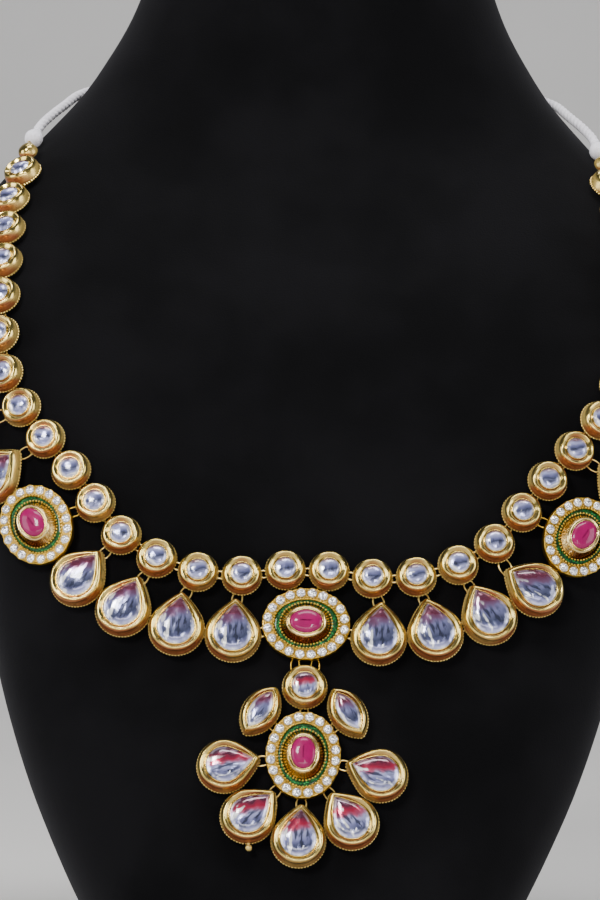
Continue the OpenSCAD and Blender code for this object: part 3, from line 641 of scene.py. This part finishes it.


# Tone ramps from the bottom of a stone to its top, all painted reflection: pale and lilac highlights, slate
# shade, rose and crimson above.
slate, lilac, pale = (0.055, 0.065, 0.13), (0.22, 0.23, 0.46), (0.46, 0.48, 0.8)
polki = crystal("foiled_stone", [
    (0.0, pale), (0.14, lilac), (0.3, slate), (0.44, (0.13, 0.14, 0.26)), (0.56, lilac),
    (0.68, (0.18, 0.1, 0.2)), (0.8, (0.14, 0.025, 0.055)), (1.0, (0.11, 0.04, 0.07))])
rosy = crystal("rosy_foiled_stone", [
    (0.0, pale), (0.12, lilac), (0.24, slate), (0.38, lilac), (0.52, pale), (0.6, (0.5, 0.12, 0.22)),
    (0.68, (0.42, 0.018, 0.06)), (0.84, (0.1, 0.02, 0.045)), (1.0, (0.1, 0.06, 0.1))])
small_polki = crystal("small_foiled_stone", [
    (0.0, pale), (0.2, lilac), (0.34, pale), (0.52, slate), (0.68, lilac), (0.82, pale),
    (0.95, (0.16, 0.07, 0.08))])


def cut_stone(outline, tiers):
    """The hull of a stone's tiers: each an inset, a height, the number of corners and a turn."""
    bm = bmesh.new()
    for inset, height, corners, turn in tiers:
        trial = bmesh.new()
        ring = corners_of(arc_loop(trial, *outline(inset), height))
        trial.free()
        for k in range(corners):
            bm.verts.new(ring[int((k + turn) * len(ring) / corners) % len(ring)])
    bmesh.ops.convex_hull(bm, input=bm.verts)
    loose = [v for v in bm.verts if not v.link_faces]
    bmesh.ops.delete(bm, geom=loose, context="VERTS")
    bmesh.ops.dissolve_limit(bm, angle_limit=math.radians(0.7), verts=bm.verts, edges=bm.edges)
    return smoothed(bm)


facet_crease = 13
stone_turn = 2.4


def set_stones(name, unit, frames, look, nodes):
    return joined(name, [(unit, f) for f in frames], [], look, nodes, facet_crease)


round_tiers = [
    (0.0, 3.3, 24, 0), (0.0, 4.3, 24, 0), (0.55, 4.85, 12, 0.5), (1.0, 5.0, 24, 0), (1.6, 5.12, 12, 0)]
round_stone = kept(cut_stone(circle(round_width / 2 - round_rim), round_tiers), "round_stone")
for side_name, frames in rounds.items():
    beds = [f @ Matrix.Rotation(stone_turn * i, 4, "Z") for i, f in enumerate(frames)]
    set_stones(side_name + "_round_polki", round_stone, beds, small_polki, [side_name + "_round_stones"])
connector = seats("connector_stone")[0]
connector_stone = kept(cut_stone(circle(connector_width / 2 - round_rim), round_tiers), "connector_stone")
set_stones("connector_polki", connector_stone, [connector], rosy, ["connector_stone"])


# Drop settings: the same pressed cups in a pear shape with a sharp upper end. Four lie a side along
# the front, seven a side over the shoulders, and each hangs on a ring from the row of rounds.
drop_width, drop_tip, drop_rim, tip_rim, stone_flank = 13.9, 9.5, 2.3, 1.9, 24
petal_width, petal_tip = 13.4, 9.3
stone_fit = 0.12
tip_eye_inset, side_eye_inset = 2, 1.6
drop_reach = drop_width / 2 - side_eye_inset


def drop_outer(width, tip):
    r = width / 2
    k = round((tip ** 2 - r ** 2) / (2 * r - 1.2 * tip), 2)
    return r, k, math.asin(0.6)


def drop_inner(width, tip):
    r, tip = width / 2 - drop_rim, tip - tip_rim
    k = stone_flank - r
    return r, k, math.asin((2 * stone_flank * r - r * r - tip * tip) / (2 * tip * k))


def pear(shape, point, shift=0.0):
    """An outline of a round end, two long sides and a small round at the tip."""
    r, k, lean = shape

    def offset(inset):
        inset = inset - shift
        x, y = k * math.cos(lean), k * math.sin(lean)
        small = max(point - inset, 0.02)
        side = r + k - inset - small
        end = math.acos(x / side)
        top = math.sqrt(side ** 2 - x ** 2) - y
        start = (-(r - inset) * math.cos(lean), (r - inset) * math.sin(lean))
        return start, [((0, 0), math.pi + 2 * lean, 32), ((-x, -y), end - lean, 11),
                       ((0, top), math.pi - 2 * end, 4), ((x, -y), end - lean, 11)]
    return offset


def pear_cup(width, tip):
    """A drop's rim: the outer wall follows its own outline, the lip follows the sharper stone."""
    outer = pear(drop_outer(width, tip), 1.3)
    inner = pear(drop_inner(width, tip), 0.3, drop_rim)
    cup = shell(levels_of(outer, dome_of(drop_rim)[:-3]) + levels_of(inner, lip_of(drop_rim)))
    return footed(cup, outer, "drop_cup")


def pear_stone(width, tip):
    inner = pear(drop_inner(width, tip), 0.1)
    tiers = [
        (0.02, 3.3, 29, 0), (0.02, 4.3, 29, 0), (0.75, 4.9, 14, 0.5), (1.3, 5.12, 29, 0),
        (2.2, 5.3, 20, 0), (3.3, 5.38, 8, 0)]
    return kept(cut_stone(inner, tiers), "drop_stone")


def stone_reach(width, tip):
    """How far a stone's tip lies from the middle of its round end."""
    r, k, lean = drop_inner(width, tip)
    return math.sqrt((r + k - stone_fit) ** 2 - (k * math.cos(lean)) ** 2) - k * math.sin(lean)


drop_unit = pear_cup(drop_width, drop_tip)
drop_stone = pear_stone(drop_width, drop_tip)
drops, shoulders = {}, {}
reach = stone_reach(drop_width, drop_tip)
for side_name, side in sides:
    drops[side_name] = [seats(f"{side_name}_drop_stone_{k}", reach)[0] for k in range(1, 5)]
    shoulders[side_name] = seats(side_name + "_shoulder_stones", reach)


def nearest_round(side_name, tip):
    return min(rounds[side_name], key=lambda f: (f.translation - tip).length)


def tip_tie(place, side_name):
    """The ring from a drop's tip up to its nearest round."""
    post = place @ (Vector((0, drop_tip - tip_eye_inset, eye_height)) * mm)
    return link(place, 0, nearest_round(side_name, post), round_reach, post)


# Medallions: oval plates of yellow plated brass. A ring of twenty small white stones lies round a
# beaded edge, a channel of green enamel over foil, and a raised cup that holds a pink ruby.
medallion_length, medallion_width = 22, 18.6
medallion_reach = medallion_length / 2 - side_eye_inset
medallion_rise = medallion_width / 2 - eye_inset - 0.6
halo_top = plate_lift + 2.2
channel_top = plate_lift + 1.5
halo_stone, halo_edge, bead_edge = 2.1, 0.25, 0.4
channel_inset = halo_edge + halo_stone + 2 * stone_fit + bead_edge
ruby_length, ruby_width, cup_wall = 8, 6, 2.2
cup_top = rim_height + 0.7
ruby_low = cup_top - 1.4 + stone_fit


def oval(a, b):
    """A four-arc oval."""
    k = (a - b) * 2.5
    x, y, turn = 0.6 * k, 0.8 * k, math.atan2(0.8, 0.6)

    def offset(inset):
        start = (x + (a - x - inset) * math.cos(turn), -(a - x - inset) * math.sin(turn))
        wide = math.pi - 2 * turn
        return start, [((x, 0), 2 * turn, 16), ((0, -y), wide, 10),
                       ((-x, 0), 2 * turn, 16), ((0, y), wide, 10)]
    return offset


yellow = Look("yellow_gold", Metallic=1.0, Coat_Weight=0.2, Coat_Roughness=0.1)
yellow.wear(
    Base_Color=yellow.blend(yellow.noise(600, 3), shade(0.36, 0.2, 0.015), shade(0.78, 0.52, 0.08)),
    Roughness=0.2 + 0.22 * yellow.noise(900, 3),
    Normal=yellow.bump(yellow.cells(1400), 0.00006, 0.8))

plate_edge = oval(medallion_length / 2, medallion_width / 2)
cup_edge = oval(ruby_length / 2 + cup_wall, ruby_width / 2 + cup_wall)
plate = shell(levels_of(plate_edge, dense([
    (0.5, plate_lift), (0.1, plate_lift + 0.3), (0, plate_lift + 1.0), (0.02, plate_lift + 1.7),
    (0.14, halo_top - 0.1), (0.4, halo_top)]) + [
    (1.3, halo_top - 0.05), (2.5, halo_top)] + dense([
        (2.62, halo_top), (2.8, halo_top - 0.04), (2.95, halo_top - 0.12), (3.0, halo_top - 0.3),
        (3.0, channel_top)], 2)))

halo_count, halo_turn = 20, 0.9
bezel_radius, bezel_wire = 1.27, 0.13
grain_radius, grain_offset = 0.27, 0.92
halo_oval = [size / 2 - halo_edge - halo_stone / 2 for size in (medallion_length, medallion_width)]
oval_steps = 120
loop = []
for step in range(oval_steps + 1):
    turn = math.tau * step / oval_steps
    loop.append(Vector((halo_oval[0] * math.cos(turn), halo_oval[1] * math.sin(turn), 0)))
lengths = [0.0]
for a, b in zip(loop, loop[1:]):
    lengths.append(lengths[-1] + (b - a).length)
halo_spots = []
for k in range(halo_count):
    want = (k + 0.5) * lengths[-1] / halo_count
    i = max(n for n in range(oval_steps) if lengths[n] <= want)
    halo_spots.append(loop[i].lerp(loop[i + 1], (want - lengths[i]) / (lengths[i + 1] - lengths[i])))
bezels = []
grains = bmesh.new()
for here, following in zip(halo_spots, halo_spots[1:] + halo_spots[:1]):
    bezel_at = (here + Vector((0, 0, halo_top))) * mm
    bezels.append(wire_ring(bezel_at, Vector((0, 0, 1)), bezel_radius * mm, bezel_wire, 20, 6))
    middle = (here + following) / 2
    outward = Vector((middle.x / halo_oval[0] ** 2, middle.y / halo_oval[1] ** 2, 0)).normalized()
    for way in (-grain_offset, grain_offset):
        spot_at = middle + outward * way + Vector((0, 0, halo_top + 0.12))
        bmesh.ops.create_icosphere(
            grains, subdivisions=1, radius=grain_radius * mm, matrix=Matrix.Translation(spot_at * mm))
edge_beads = beads(plate_edge, 2.86, halo_top + 0.22, 0.34, 0.84)
foot_beads = beads(cup_edge, -0.3, channel_top + 0.7, 0.33, 0.82)
plate_unit = kept(merged(plate, *bezels, smoothed(grains), edge_beads, foot_beads), "medallion_plate")

cup_unit = kept(shell(levels_of(cup_edge, dense([
    (0, channel_top), (0.02, channel_top + 0.5), (0.35, channel_top + 1.0), (0.8, channel_top + 1.8),
    (1.1, cup_top - 0.5), (1.28, cup_top - 0.2)]) + dense([
        (1.36, cup_top - 0.12), (1.46, cup_top - 0.05), (1.7, cup_top - 0.14), (1.86, cup_top - 0.24),
        (1.94, cup_top - 0.05), (2.04, cup_top + 0.06), (2.14, cup_top), (2.2, cup_top - 0.3)])
    + [(2.25, cup_top - 1.2)])), "ruby_cup")

cup_gold = Look("raised_cup_gold", Metallic=1.0, Coat_Weight=0.25, Coat_Roughness=0.08)
(_, up_of, out_of), _ = cup_gold.local()
# Painted shade: the cup's wall below its lip darkens to a dark red-brown, most toward its lower side.
wall = 1 - cup_gold.step(out_of, cup_top - 0.6, cup_top - 0.2)
lower = cup_gold.step(up_of * -1, -2.2, 2.6)
mottled = cup_gold.noise(500, 3)
light_gold = cup_gold.blend(mottled, shade(0.66, 0.48, 0.16), shade(0.85, 0.68, 0.32))
# The painted shade copy of the cup's gold.
painted_shade_gold = cup_gold.blend(mottled, shade(0.045, 0.01, 0.005), shade(0.2, 0.05, 0.015))
cup_gold.wear(
    Base_Color=cup_gold.blend(wall * (0.25 + 0.75 * lower), light_gold, painted_shade_gold),
    Roughness=0.12 + 0.14 * cup_gold.noise(800, 2))

medallions = {}
for name in ("centre", "left", "right", "pendant"):
    lies = "upright" if name == "pendant" else "level"
    medallions[name] = seats(name + "_ruby", low=ruby_low, lies=lies)[0]
beds = dict(medallions, pendant=medallions["pendant"] @ Matrix.Rotation(math.pi / 2, 4, "Z"))


# Rubies: pink ruby cabochons, 8 by 6 mm, ground to a smooth dome and polished. Each drops into a
# raised cup, whose thin lip is pressed over its edge.
ruby = Look("pink_ruby", Roughness=0.4, Specular_IOR_Level=0.15, Coat_Weight=0.45, Coat_Roughness=0.03)
ruby.wear(Base_Color=ruby.blend(ruby.noise(420, 3), shade(0.16, 0.0, 0.048), shade(0.32, 0.0, 0.095)))
ruby_unit = kept(shell(levels_of(oval(ruby_length / 2 + 0.02, ruby_width / 2 + 0.02), dense([
    (0.05, ruby_low), (0.0, cup_top - 0.35), (0.12, cup_top + 0.05), (0.5, cup_top + 0.38),
    (1.1, cup_top + 0.64), (1.9, cup_top + 0.82), (2.7, cup_top + 0.89)]))), "ruby_cabochon")
for name, bed in beds.items():
    joined(name + "_ruby_cabochon", [(ruby_unit, bed)], [], ruby, [name + "_ruby"])

# Halo stones: small white brilliants, twenty to a medallion, cut with eight facets round a small
# table. They are pressed into round seats in the plate, each inside a fine wire bezel.
white = Look("white_brilliant", Coat_Weight=1.0, Coat_Roughness=0.01, Coat_IOR=1.7, Metallic=0.75)
_, place_on = white.local()
# Painted glints: a grey colour with white patches, set by noise on each stone, for its sparkle.
painted_sparkle = white.step(white.noise(1.7, 2, place_on), 0.35, 0.62)
white.wear(
    Base_Color=white.blend(painted_sparkle, shade(0.42, 0.42, 0.5), shade(1.0, 1.0, 1.0)),
    Roughness=0.08 + 0.2 * white.noise(2.4, 2, place_on),
    Normal=white.bump(white.cells(2.2, place_on), 0.0004, 0.5))
brilliant = kept(cut_stone(circle(halo_stone / 2 + 0.14), [
    (0, halo_top - 0.3, 16, 0), (0, halo_top + 0.14, 16, 0), (0.34, halo_top + 0.44, 8, 0.5),
    (0.5, halo_top + 0.5, 8, 0)]), "brilliant")
halo = bmesh.new()
for k, here in enumerate(halo_spots):
    copy = brilliant.copy()
    copy.transform(Matrix.Translation(here * mm) @ Matrix.Rotation(k * halo_turn, 4, "Z"))
    halo.from_mesh(copy)
    bpy.data.meshes.remove(copy)
halo_unit = kept(halo, "halo")
for name, bed in beds.items():
    joined(name + "_brilliants", [(halo_unit, bed)], [], white, [name + "_halo"])

# Enamel: dark green glass enamel, fired in a channel between the plate and the raised cup. Engraved
# foil lies under it, its sparkle painted as bright green flecks, and a row of gold grains closes it on either
# side.
enamel = Look("green_enamel", Metallic=0.35, Specular_IOR_Level=0.25, Coat_Weight=0.35, Coat_Roughness=0.05)
# Painted glints of the foil: bright green flecks in the dark green colour.
painted_foil_glints = enamel.step(enamel.noise(3400, 2), 0.55, 0.72)
enamel.wear(
    Base_Color=enamel.blend(painted_foil_glints, shade(0.001, 0.03, 0.006), shade(0.03, 0.55, 0.1)),
    Roughness=0.3 + 0.25 * enamel.noise(1500, 2),
    Normal=enamel.bump(enamel.cells(1700), 0.00018, 0.9))
enamel_top = channel_top + stone_fit + 0.35
outer_edge = oval(medallion_length / 2 - channel_inset, medallion_width / 2 - channel_inset)
enamel_unit = kept(shell([
    (outer_edge, 0.05, channel_top + 0.1), (outer_edge, 0.05, enamel_top - 0.08),
    (outer_edge, 0.3, enamel_top + 0.02), (outer_edge, 0.9, enamel_top + 0.05),
    (cup_edge, -0.2, enamel_top), (cup_edge, -0.05, enamel_top - 0.1),
    (cup_edge, -0.05, channel_top + 0.1)], roof=False, closed=True), "enamel")
joined("enamel_bands", [(enamel_unit, bed) for bed in beds.values()], [], enamel, ["enamel_rings"])

# The pendant: a connecting round, a medallion on end, two pointed ovals above it and a fan of five
# drops below. Each is ringed to the medallion's back and lies flat against the bust.
leaf_length, leaf_width, leaf_rim, leaf_tip_rim = 14.4, 9, 2, 1.9
leaf_eye_inset, leaf_angle = 1.3, 44
hang_side, hang_eye_inset, hanger_squeeze = 2.5, 1.3, 0.5
connector_reach = connector_width / 2 - eye_inset


def lens(half, r, point, shift=0.0):
    """An outline of two long sides that meet in small rounds."""
    f = (half ** 2 + r ** 2) / (2 * r)

    def offset(inset):
        inset = inset - shift
        small = max(point - inset, 0.02)
        side = f - inset - small
        end = math.acos((f - r) / side)
        top = math.sqrt(side ** 2 - (f - r) ** 2)
        wide = f - inset
        start = (r - f + wide * math.cos(-end), wide * math.sin(-end))
        turn = math.pi - 2 * end
        return start, [((r - f, 0), 2 * end, 22), ((0, top), turn, 4),
                       ((f - r, 0), 2 * end, 22), ((0, -top), turn, 4)]
    return offset


leaf_outer = lens(leaf_length / 2, leaf_width / 2, 0.9)
leaf_inner = lens(leaf_length / 2 - leaf_tip_rim, leaf_width / 2 - leaf_rim, 0.25, leaf_rim)
leaf_cup = shell(levels_of(leaf_outer, dome_of(leaf_rim)[:-3]) + levels_of(leaf_inner, lip_of(leaf_rim)))
leaf_unit = footed(leaf_cup, leaf_outer, "leaf_cup")
leaf_stone = kept(cut_stone(lens(leaf_length / 2 - leaf_tip_rim, leaf_width / 2 - leaf_rim, 0.1), [
    (0.02, 3.3, 26, 0), (0.02, 4.3, 26, 0), (0.65, 4.85, 12, 0.5), (1.2, 5.08, 26, 0),
    (1.8, 5.18, 12, 0)]), "leaf_stone")
petal_unit = pear_cup(petal_width, petal_tip)
petal_stone = pear_stone(petal_width, petal_tip)

pendant = medallions["pendant"]


def fan_angle(place):
    way = place.translation - pendant.translation
    return math.atan2(way.x, way.z) % math.tau


petals = sorted(seats("petal_stones", stone_reach(petal_width, petal_tip)), key=fan_angle, reverse=True)
leaves = dict(zip(("left", "right"), seats("leaf_stones", lies="upright")))


def edge_of(angle):
    return 1 / math.hypot(math.sin(angle) * 2 / medallion_width, math.cos(angle) * 2 / medallion_length)


fan_links = []
for k, place in enumerate(petals):
    post = place @ (Vector((0, petal_tip - tip_eye_inset, eye_height)) * mm)
    made = link(place, 0, pendant, edge_of(fan_angle(place)) - eye_inset, post)
    joined(f"petal_{k + 1}_cup", [(petal_unit, place)], made[:1], gold, [f"petal_{k + 1}"],
           cup_crease)
    fan_links += made[1:]

# The petal at the lower left keeps a small gold ball on a short stalk at its lower edge. It is
# plated with the rest and soldered to the petal's foot.
ball_radius, ball_drop, stalk_drop, ball_lift = 0.85, 7.9, 6.9, 2.3
stalk_length, stalk_foot, stalk_end = 1.2, 0.38, 0.32
lower_left = petals[1]
out = out_of_frame(lower_left)
down = Vector((0.06, 0, -1))
down = (down - out * out.dot(down)).normalized()
ball_at = lower_left.translation + (down * ball_drop + out * ball_lift) * mm
stalk_at = lower_left.translation + (down * stalk_drop + out * ball_lift) * mm
ball = bmesh.new()
bmesh.ops.create_uvsphere(
    ball, u_segments=20, v_segments=12, radius=ball_radius * mm, matrix=Matrix.Translation(ball_at))
bmesh.ops.create_cone(
    ball, cap_ends=True, segments=16, radius1=stalk_foot * mm, radius2=stalk_end * mm,
    depth=stalk_length * mm, matrix=frame_of(stalk_at, out, down))
piece("petal_ball", kept(smoothed(ball), "petal_ball"), gold, [])

# Pointed ovals, the stones of the fan and the two hangers over the connecting round. They are set
# and plated like the drops, and the hangers are wire rings soldered to the centre medallion's back.
for side_name, place in leaves.items():
    made = link(place, leaf_width / 2 - leaf_eye_inset, pendant,
                edge_of(math.radians(leaf_angle)) - eye_inset)
    joined(side_name + "_leaf_cup", [(leaf_unit, place)], made[:1], gold, [side_name + "_leaf"],
           cup_crease)
    fan_links += made[1:]
set_stones("petal_polki", petal_stone, petals, rosy, ["petal_stones"])
set_stones("leaf_polki", leaf_stone, list(leaves.values()), polki, ["leaf_stones"])
hang = link(connector, connector_reach, pendant, medallion_length / 2 - eye_inset)
centre = medallions["centre"]
hangers = []
for _, side in sides:
    up_post = centre @ (Vector((side * hang_side, hang_eye_inset - medallion_width / 2, eye_height)) * mm)
    far = math.sqrt(connector_reach ** 2 - hang_side ** 2)
    down_post = connector @ (Vector((side * hang_side, far, eye_height)) * mm)
    hangers.append(ring_between(up_post, down_post, centre, connector, hanger_squeeze))
joined("connector_cup", [(connector_unit, connector)], hang[:1], gold, ["connector"], cup_crease)

# Joining up: the rings and eyes behind the rows. They are bent from plated wire 0.4 mm thick, each
# ring soldered to one back and passed through an eye on the next.
ties = {name: [] for name in ("centre", "left", "right", "left_row", "right_row", "left_over", "right_over")}
for side_name, _ in sides:
    row = rounds[side_name]
    for first, second in zip(row, row[1:]):
        ties[side_name + "_row"] += link(first, round_reach, second, round_reach)
    front = drops[side_name]
    chain = [(centre, medallion_reach)] + [(f, drop_reach) for f in front]
    chain.append((medallions[side_name], medallion_reach))
    for k, place in enumerate(front):
        tie = tip_tie(place, side_name)
        beside = link(place, drop_reach, *chain[k])
        eyes = link(*chain[k + 2], place, drop_reach)[1:]
        ties[side_name + "_row"] += tie[1:]
        if k == 0:
            ties["centre"] += beside[1:]
        joined(f"{side_name}_drop_{k + 1}_cup", [(drop_unit, place)], tie[:1] + beside[:1] + eyes, gold,
               [f"{side_name}_drop_{k + 1}"], cup_crease)
        set_stones(f"{side_name}_drop_{k + 1}_polki", drop_stone, [place], polki,
                   [f"{side_name}_drop_stone_{k + 1}"])
    place = medallions[side_name]
    over = in_order(shoulders[side_name], place.translation)
    chain = [(place, medallion_reach)] + [(f, drop_reach) for f in over]
    for k, drop in enumerate(over):
        beside = link(drop, drop_reach, *chain[k])
        tie = tip_tie(drop, side_name)
        ties[side_name + "_over"] += beside[:1] + tie[:1]
        ties[side_name + "_row"] += tie[1:]
        ties[side_name if k == 0 else side_name + "_over"] += beside[1:]
    joined(side_name + "_shoulder_cups", [(drop_unit, f) for f in over], ties[side_name + "_over"], gold,
           [side_name + "_shoulder_drops"], cup_crease)
    set_stones(side_name + "_shoulder_polki", drop_stone, over, polki, [side_name + "_shoulder_stones"])
    ties[side_name] += link(place, medallion_reach, front[3], drop_reach)[:1]
    for owner, held, beside in ((side_name, place, nearest_round(side_name, place.translation)),
                                ("centre", centre, row[0])):
        tie = link(held, medallion_rise, beside, round_reach)
        ties[owner] += tie[:1]
        ties[side_name + "_row"] += tie[1:]
middle_link = link(rounds["right"][0], round_reach, rounds["left"][0], round_reach)
ties["right_row"] += middle_link[:1]
ties["left_row"] += middle_link[1:]
ties["centre"] += hangers

plate_crease = 50
for name, bed in beds.items():
    links = fan_links + hang[1:] if name == "pendant" else ties[name]
    joined(name + "_plate", [(plate_unit, bed)], links, yellow, [name + "_medallion"], plate_crease)
    joined(name + "_ruby_cup", [(cup_unit, bed)], [], cup_gold, [name + "_medallion"], plate_crease)

# End beads: a small domed bead of the same gold closes each row. A ring on its far side takes the
# cord, which is tied there in a wound thread knot.
end_width, end_ring = 5.2, 1.1
knot_wide, winding, groove, knot_gap = 5.0, 0.34, 0.045, 0.3
end_unit = kept(shell(levels_of(circle(end_width / 2), dense([
    (1.2, plate_lift), (0.4, plate_lift + 0.25), (0, plate_lift + 0.9), (0.02, plate_lift + 1.9),
    (0.3, plate_lift + 2.8), (0.85, plate_lift + 3.45), (1.6, rim_height - 0.08),
    (2.3, rim_height)]))), "end_bead")


def lathe(points, axis, steps):
    """A closed shape turned about an axis, from its profile in millimetres."""
    bm = bmesh.new()
    line = [bm.verts.new(Vector(point) * mm) for point in points]
    edges = [bm.edges.new(pair) for pair in zip(line, line[1:])]
    bmesh.ops.spin(bm, geom=line + edges, cent=(0, 0, 0), axis=axis, angle=math.tau, steps=steps,
                   use_merge=True, use_duplicate=False)
    bmesh.ops.holes_fill(bm, edges=[e for e in bm.edges if e.is_boundary], sides=0)
    return smoothed(bm)


for side_name, side in sides:
    bm, found = islands(side_name + "_end")
    top = max(max(found, key=len), key=lambda f: f.calc_area())
    out = top.normal.normalized()
    middle = sum((v.co for v in top.verts), Vector()) / len(top.verts)
    bm.free()
    last = rounds[side_name][-1]
    height = rim_height
    if out.dot(out_of_frame(last)) < 0:
        out = -out
        height = plate_lift
    place = frame_of(middle - out * height * mm, Vector((0, 0, 1)), out)
    root = place.translation + out * (plate_lift + rim_height) / 2 * mm
    start = Vector((cord_route[0][0] * side, *cord_route[0][1:])) * mm
    way = (start - root).normalized()
    tie = link(place, end_width / 2 - eye_inset, last, round_reach)
    ties[side_name + "_row"] += tie[1:]
    ring_at = root + way * (end_width / 2 + end_ring - wire / 2) * mm
    loop_ring = (ring_at, way.cross(out).normalized(), end_ring * mm)
    joined(side_name + "_end_bead", [(end_unit, place)], tie[:1] + [loop_ring], gold, [side_name + "_end"],
           cup_crease)
    joined(side_name + "_round_cups", [(round_unit, f) for f in rounds[side_name]], ties[side_name + "_row"],
           gold, [side_name + "_round_row"], cup_crease)
    first = root + way * (end_width / 2 + 2 * end_ring + wire + knot_gap) * mm
    length = (start - first).length / mm
    profile = []
    for share, at in dense([(0.35, 0), (0.85, 0.12), (1, 0.3), (0.92, 0.5), (0.7, 0.72), (0.5, 0.9),
                            (0.45, 1)], 10):
        wound = 1 - groove * (1 - abs(math.sin(at * length / winding * math.pi)))
        profile.append((share * knot_wide / 2 * wound, 0, at * length))
    knot = lathe(profile, (0, 0, 1), 32)
    side_way = way.cross(Vector((0, 0, 1))).normalized()
    bmesh.ops.transform(knot, verts=knot.verts, matrix=frame_of(first, way.cross(side_way), way))
    name = side_name + "_thread_knot"
    cords[side_name + "_knot"] = piece(name, kept(knot, name), thread, [side_name + "_knot"])

# The slider: a plain gold barrel at the nape, turned from brass rod with a groove near each end.
# Both ends of the cord go into its bore and are held there.
barrel_half = 6.0
barrel_at = Vector((0, 86.5, 241.5))
outline = dense([
    (1.35, -barrel_half), (2.3, -barrel_half), (2.85, -barrel_half + 0.45), (2.95, -barrel_half + 1.2),
    (2.6, -barrel_half + 1.7), (2.9, -2.8), (3.0, 0), (2.9, 2.8), (2.6, barrel_half - 1.7),
    (2.95, barrel_half - 1.2), (2.85, barrel_half - 0.45), (2.3, barrel_half), (1.35, barrel_half)], 4)
barrel = kept(lathe([(z, r, 0) for r, z in outline], (1, 0, 0), 40), "barrel")
slider = joined("nape_slider", [(barrel, Matrix.Translation(barrel_at * mm))], [], gold, ["clasp"],
                plate_crease)

for side_name, side in sides:
    line = cord_lines[side_name]
    length = sum((b - a).length for a, b in zip(line, line[1:]))
    cords[side_name + "_knot"]

# The studio: a plain pale paper floor that curves up far behind, and soft light from large panels.
# The small key panel stands high at the left and draws the bright line on each rim.
floor = bmesh.new()
edge = floor.edges.new([floor.verts.new((x, -5.0, 0)) for x in (-6.0, 6.0)])
for y, z in ((2.6, 0), (3.1, 0.05), (3.5, 0.2), (3.75, 0.5), (3.9, 1.0), (3.95, 5.0)):
    geom = bmesh.ops.extrude_edge_only(floor, edges=[edge])["geom"]
    edge = next(g for g in geom if isinstance(g, bmesh.types.BMEdge))
    for vert in edge.verts:
        vert.co.y, vert.co.z = y, z
paper = Look("pale_paper", Roughness=0.9)
paper.wear(Base_Color=paper.blend(paper.noise(5, 3), shade(0.6, 0.59, 0.58), shade(0.66, 0.65, 0.64)))
mesh = kept(smoothed(floor), "studio_floor")
mesh.materials.append(paper.material)
shown("studio_floor", mesh)


def panel(name, place, aim, width, height, power, tint):
    data = bpy.data.lights.new(name, "AREA")
    data.shape = "RECTANGLE"
    data.size, data.size_y, data.energy, data.color = width, height, power, tint
    lamp = shown(name, data)
    lamp.location = place
    lamp.rotation_euler = (Vector(aim) - Vector(place)).to_track_quat("-Z", "Y").to_euler()


panel("key_panel", (-0.5, -0.95, 0.8), (0, -0.05, 0.12), 0.28, 0.24, 11, (1.0, 0.99, 0.96))
panel("left_panel", (-0.95, -0.35, 0.2), (0, -0.05, 0.12), 0.5, 0.8, 6, (0.96, 0.97, 1.0))
panel("right_panel", (0.95, -0.35, 0.2), (0, -0.05, 0.12), 0.5, 0.8, 6, (0.96, 0.97, 1.0))
panel("top_panel", (0.05, -0.25, 1.1), (0, -0.03, 0.1), 0.7, 0.32, 8, (1.0, 0.99, 0.97))
panel("front_panel", (0.25, -1.3, 0.3), (0, -0.05, 0.12), 0.08, 0.3, 2.0, (1.0, 1.0, 1.0))
panel("low_panel", (0.0, -0.75, 0.06), (0, -0.05, 0.1), 0.8, 0.1, 1.6, (1.0, 0.95, 0.88))
panel("backdrop_panel", (0.0, 1.4, 3.2), (0, 3.7, 0.9), 3.0, 1.2, 95, (1.0, 1.0, 1.0))
world = bpy.data.worlds.new("studio")
bpy.context.scene.world = world
world.use_nodes = True
world.node_tree.nodes["Background"].inputs["Color"].default_value = (0.5, 0.52, 0.58, 1)
world.node_tree.nodes["Background"].inputs["Strength"].default_value = 0.22
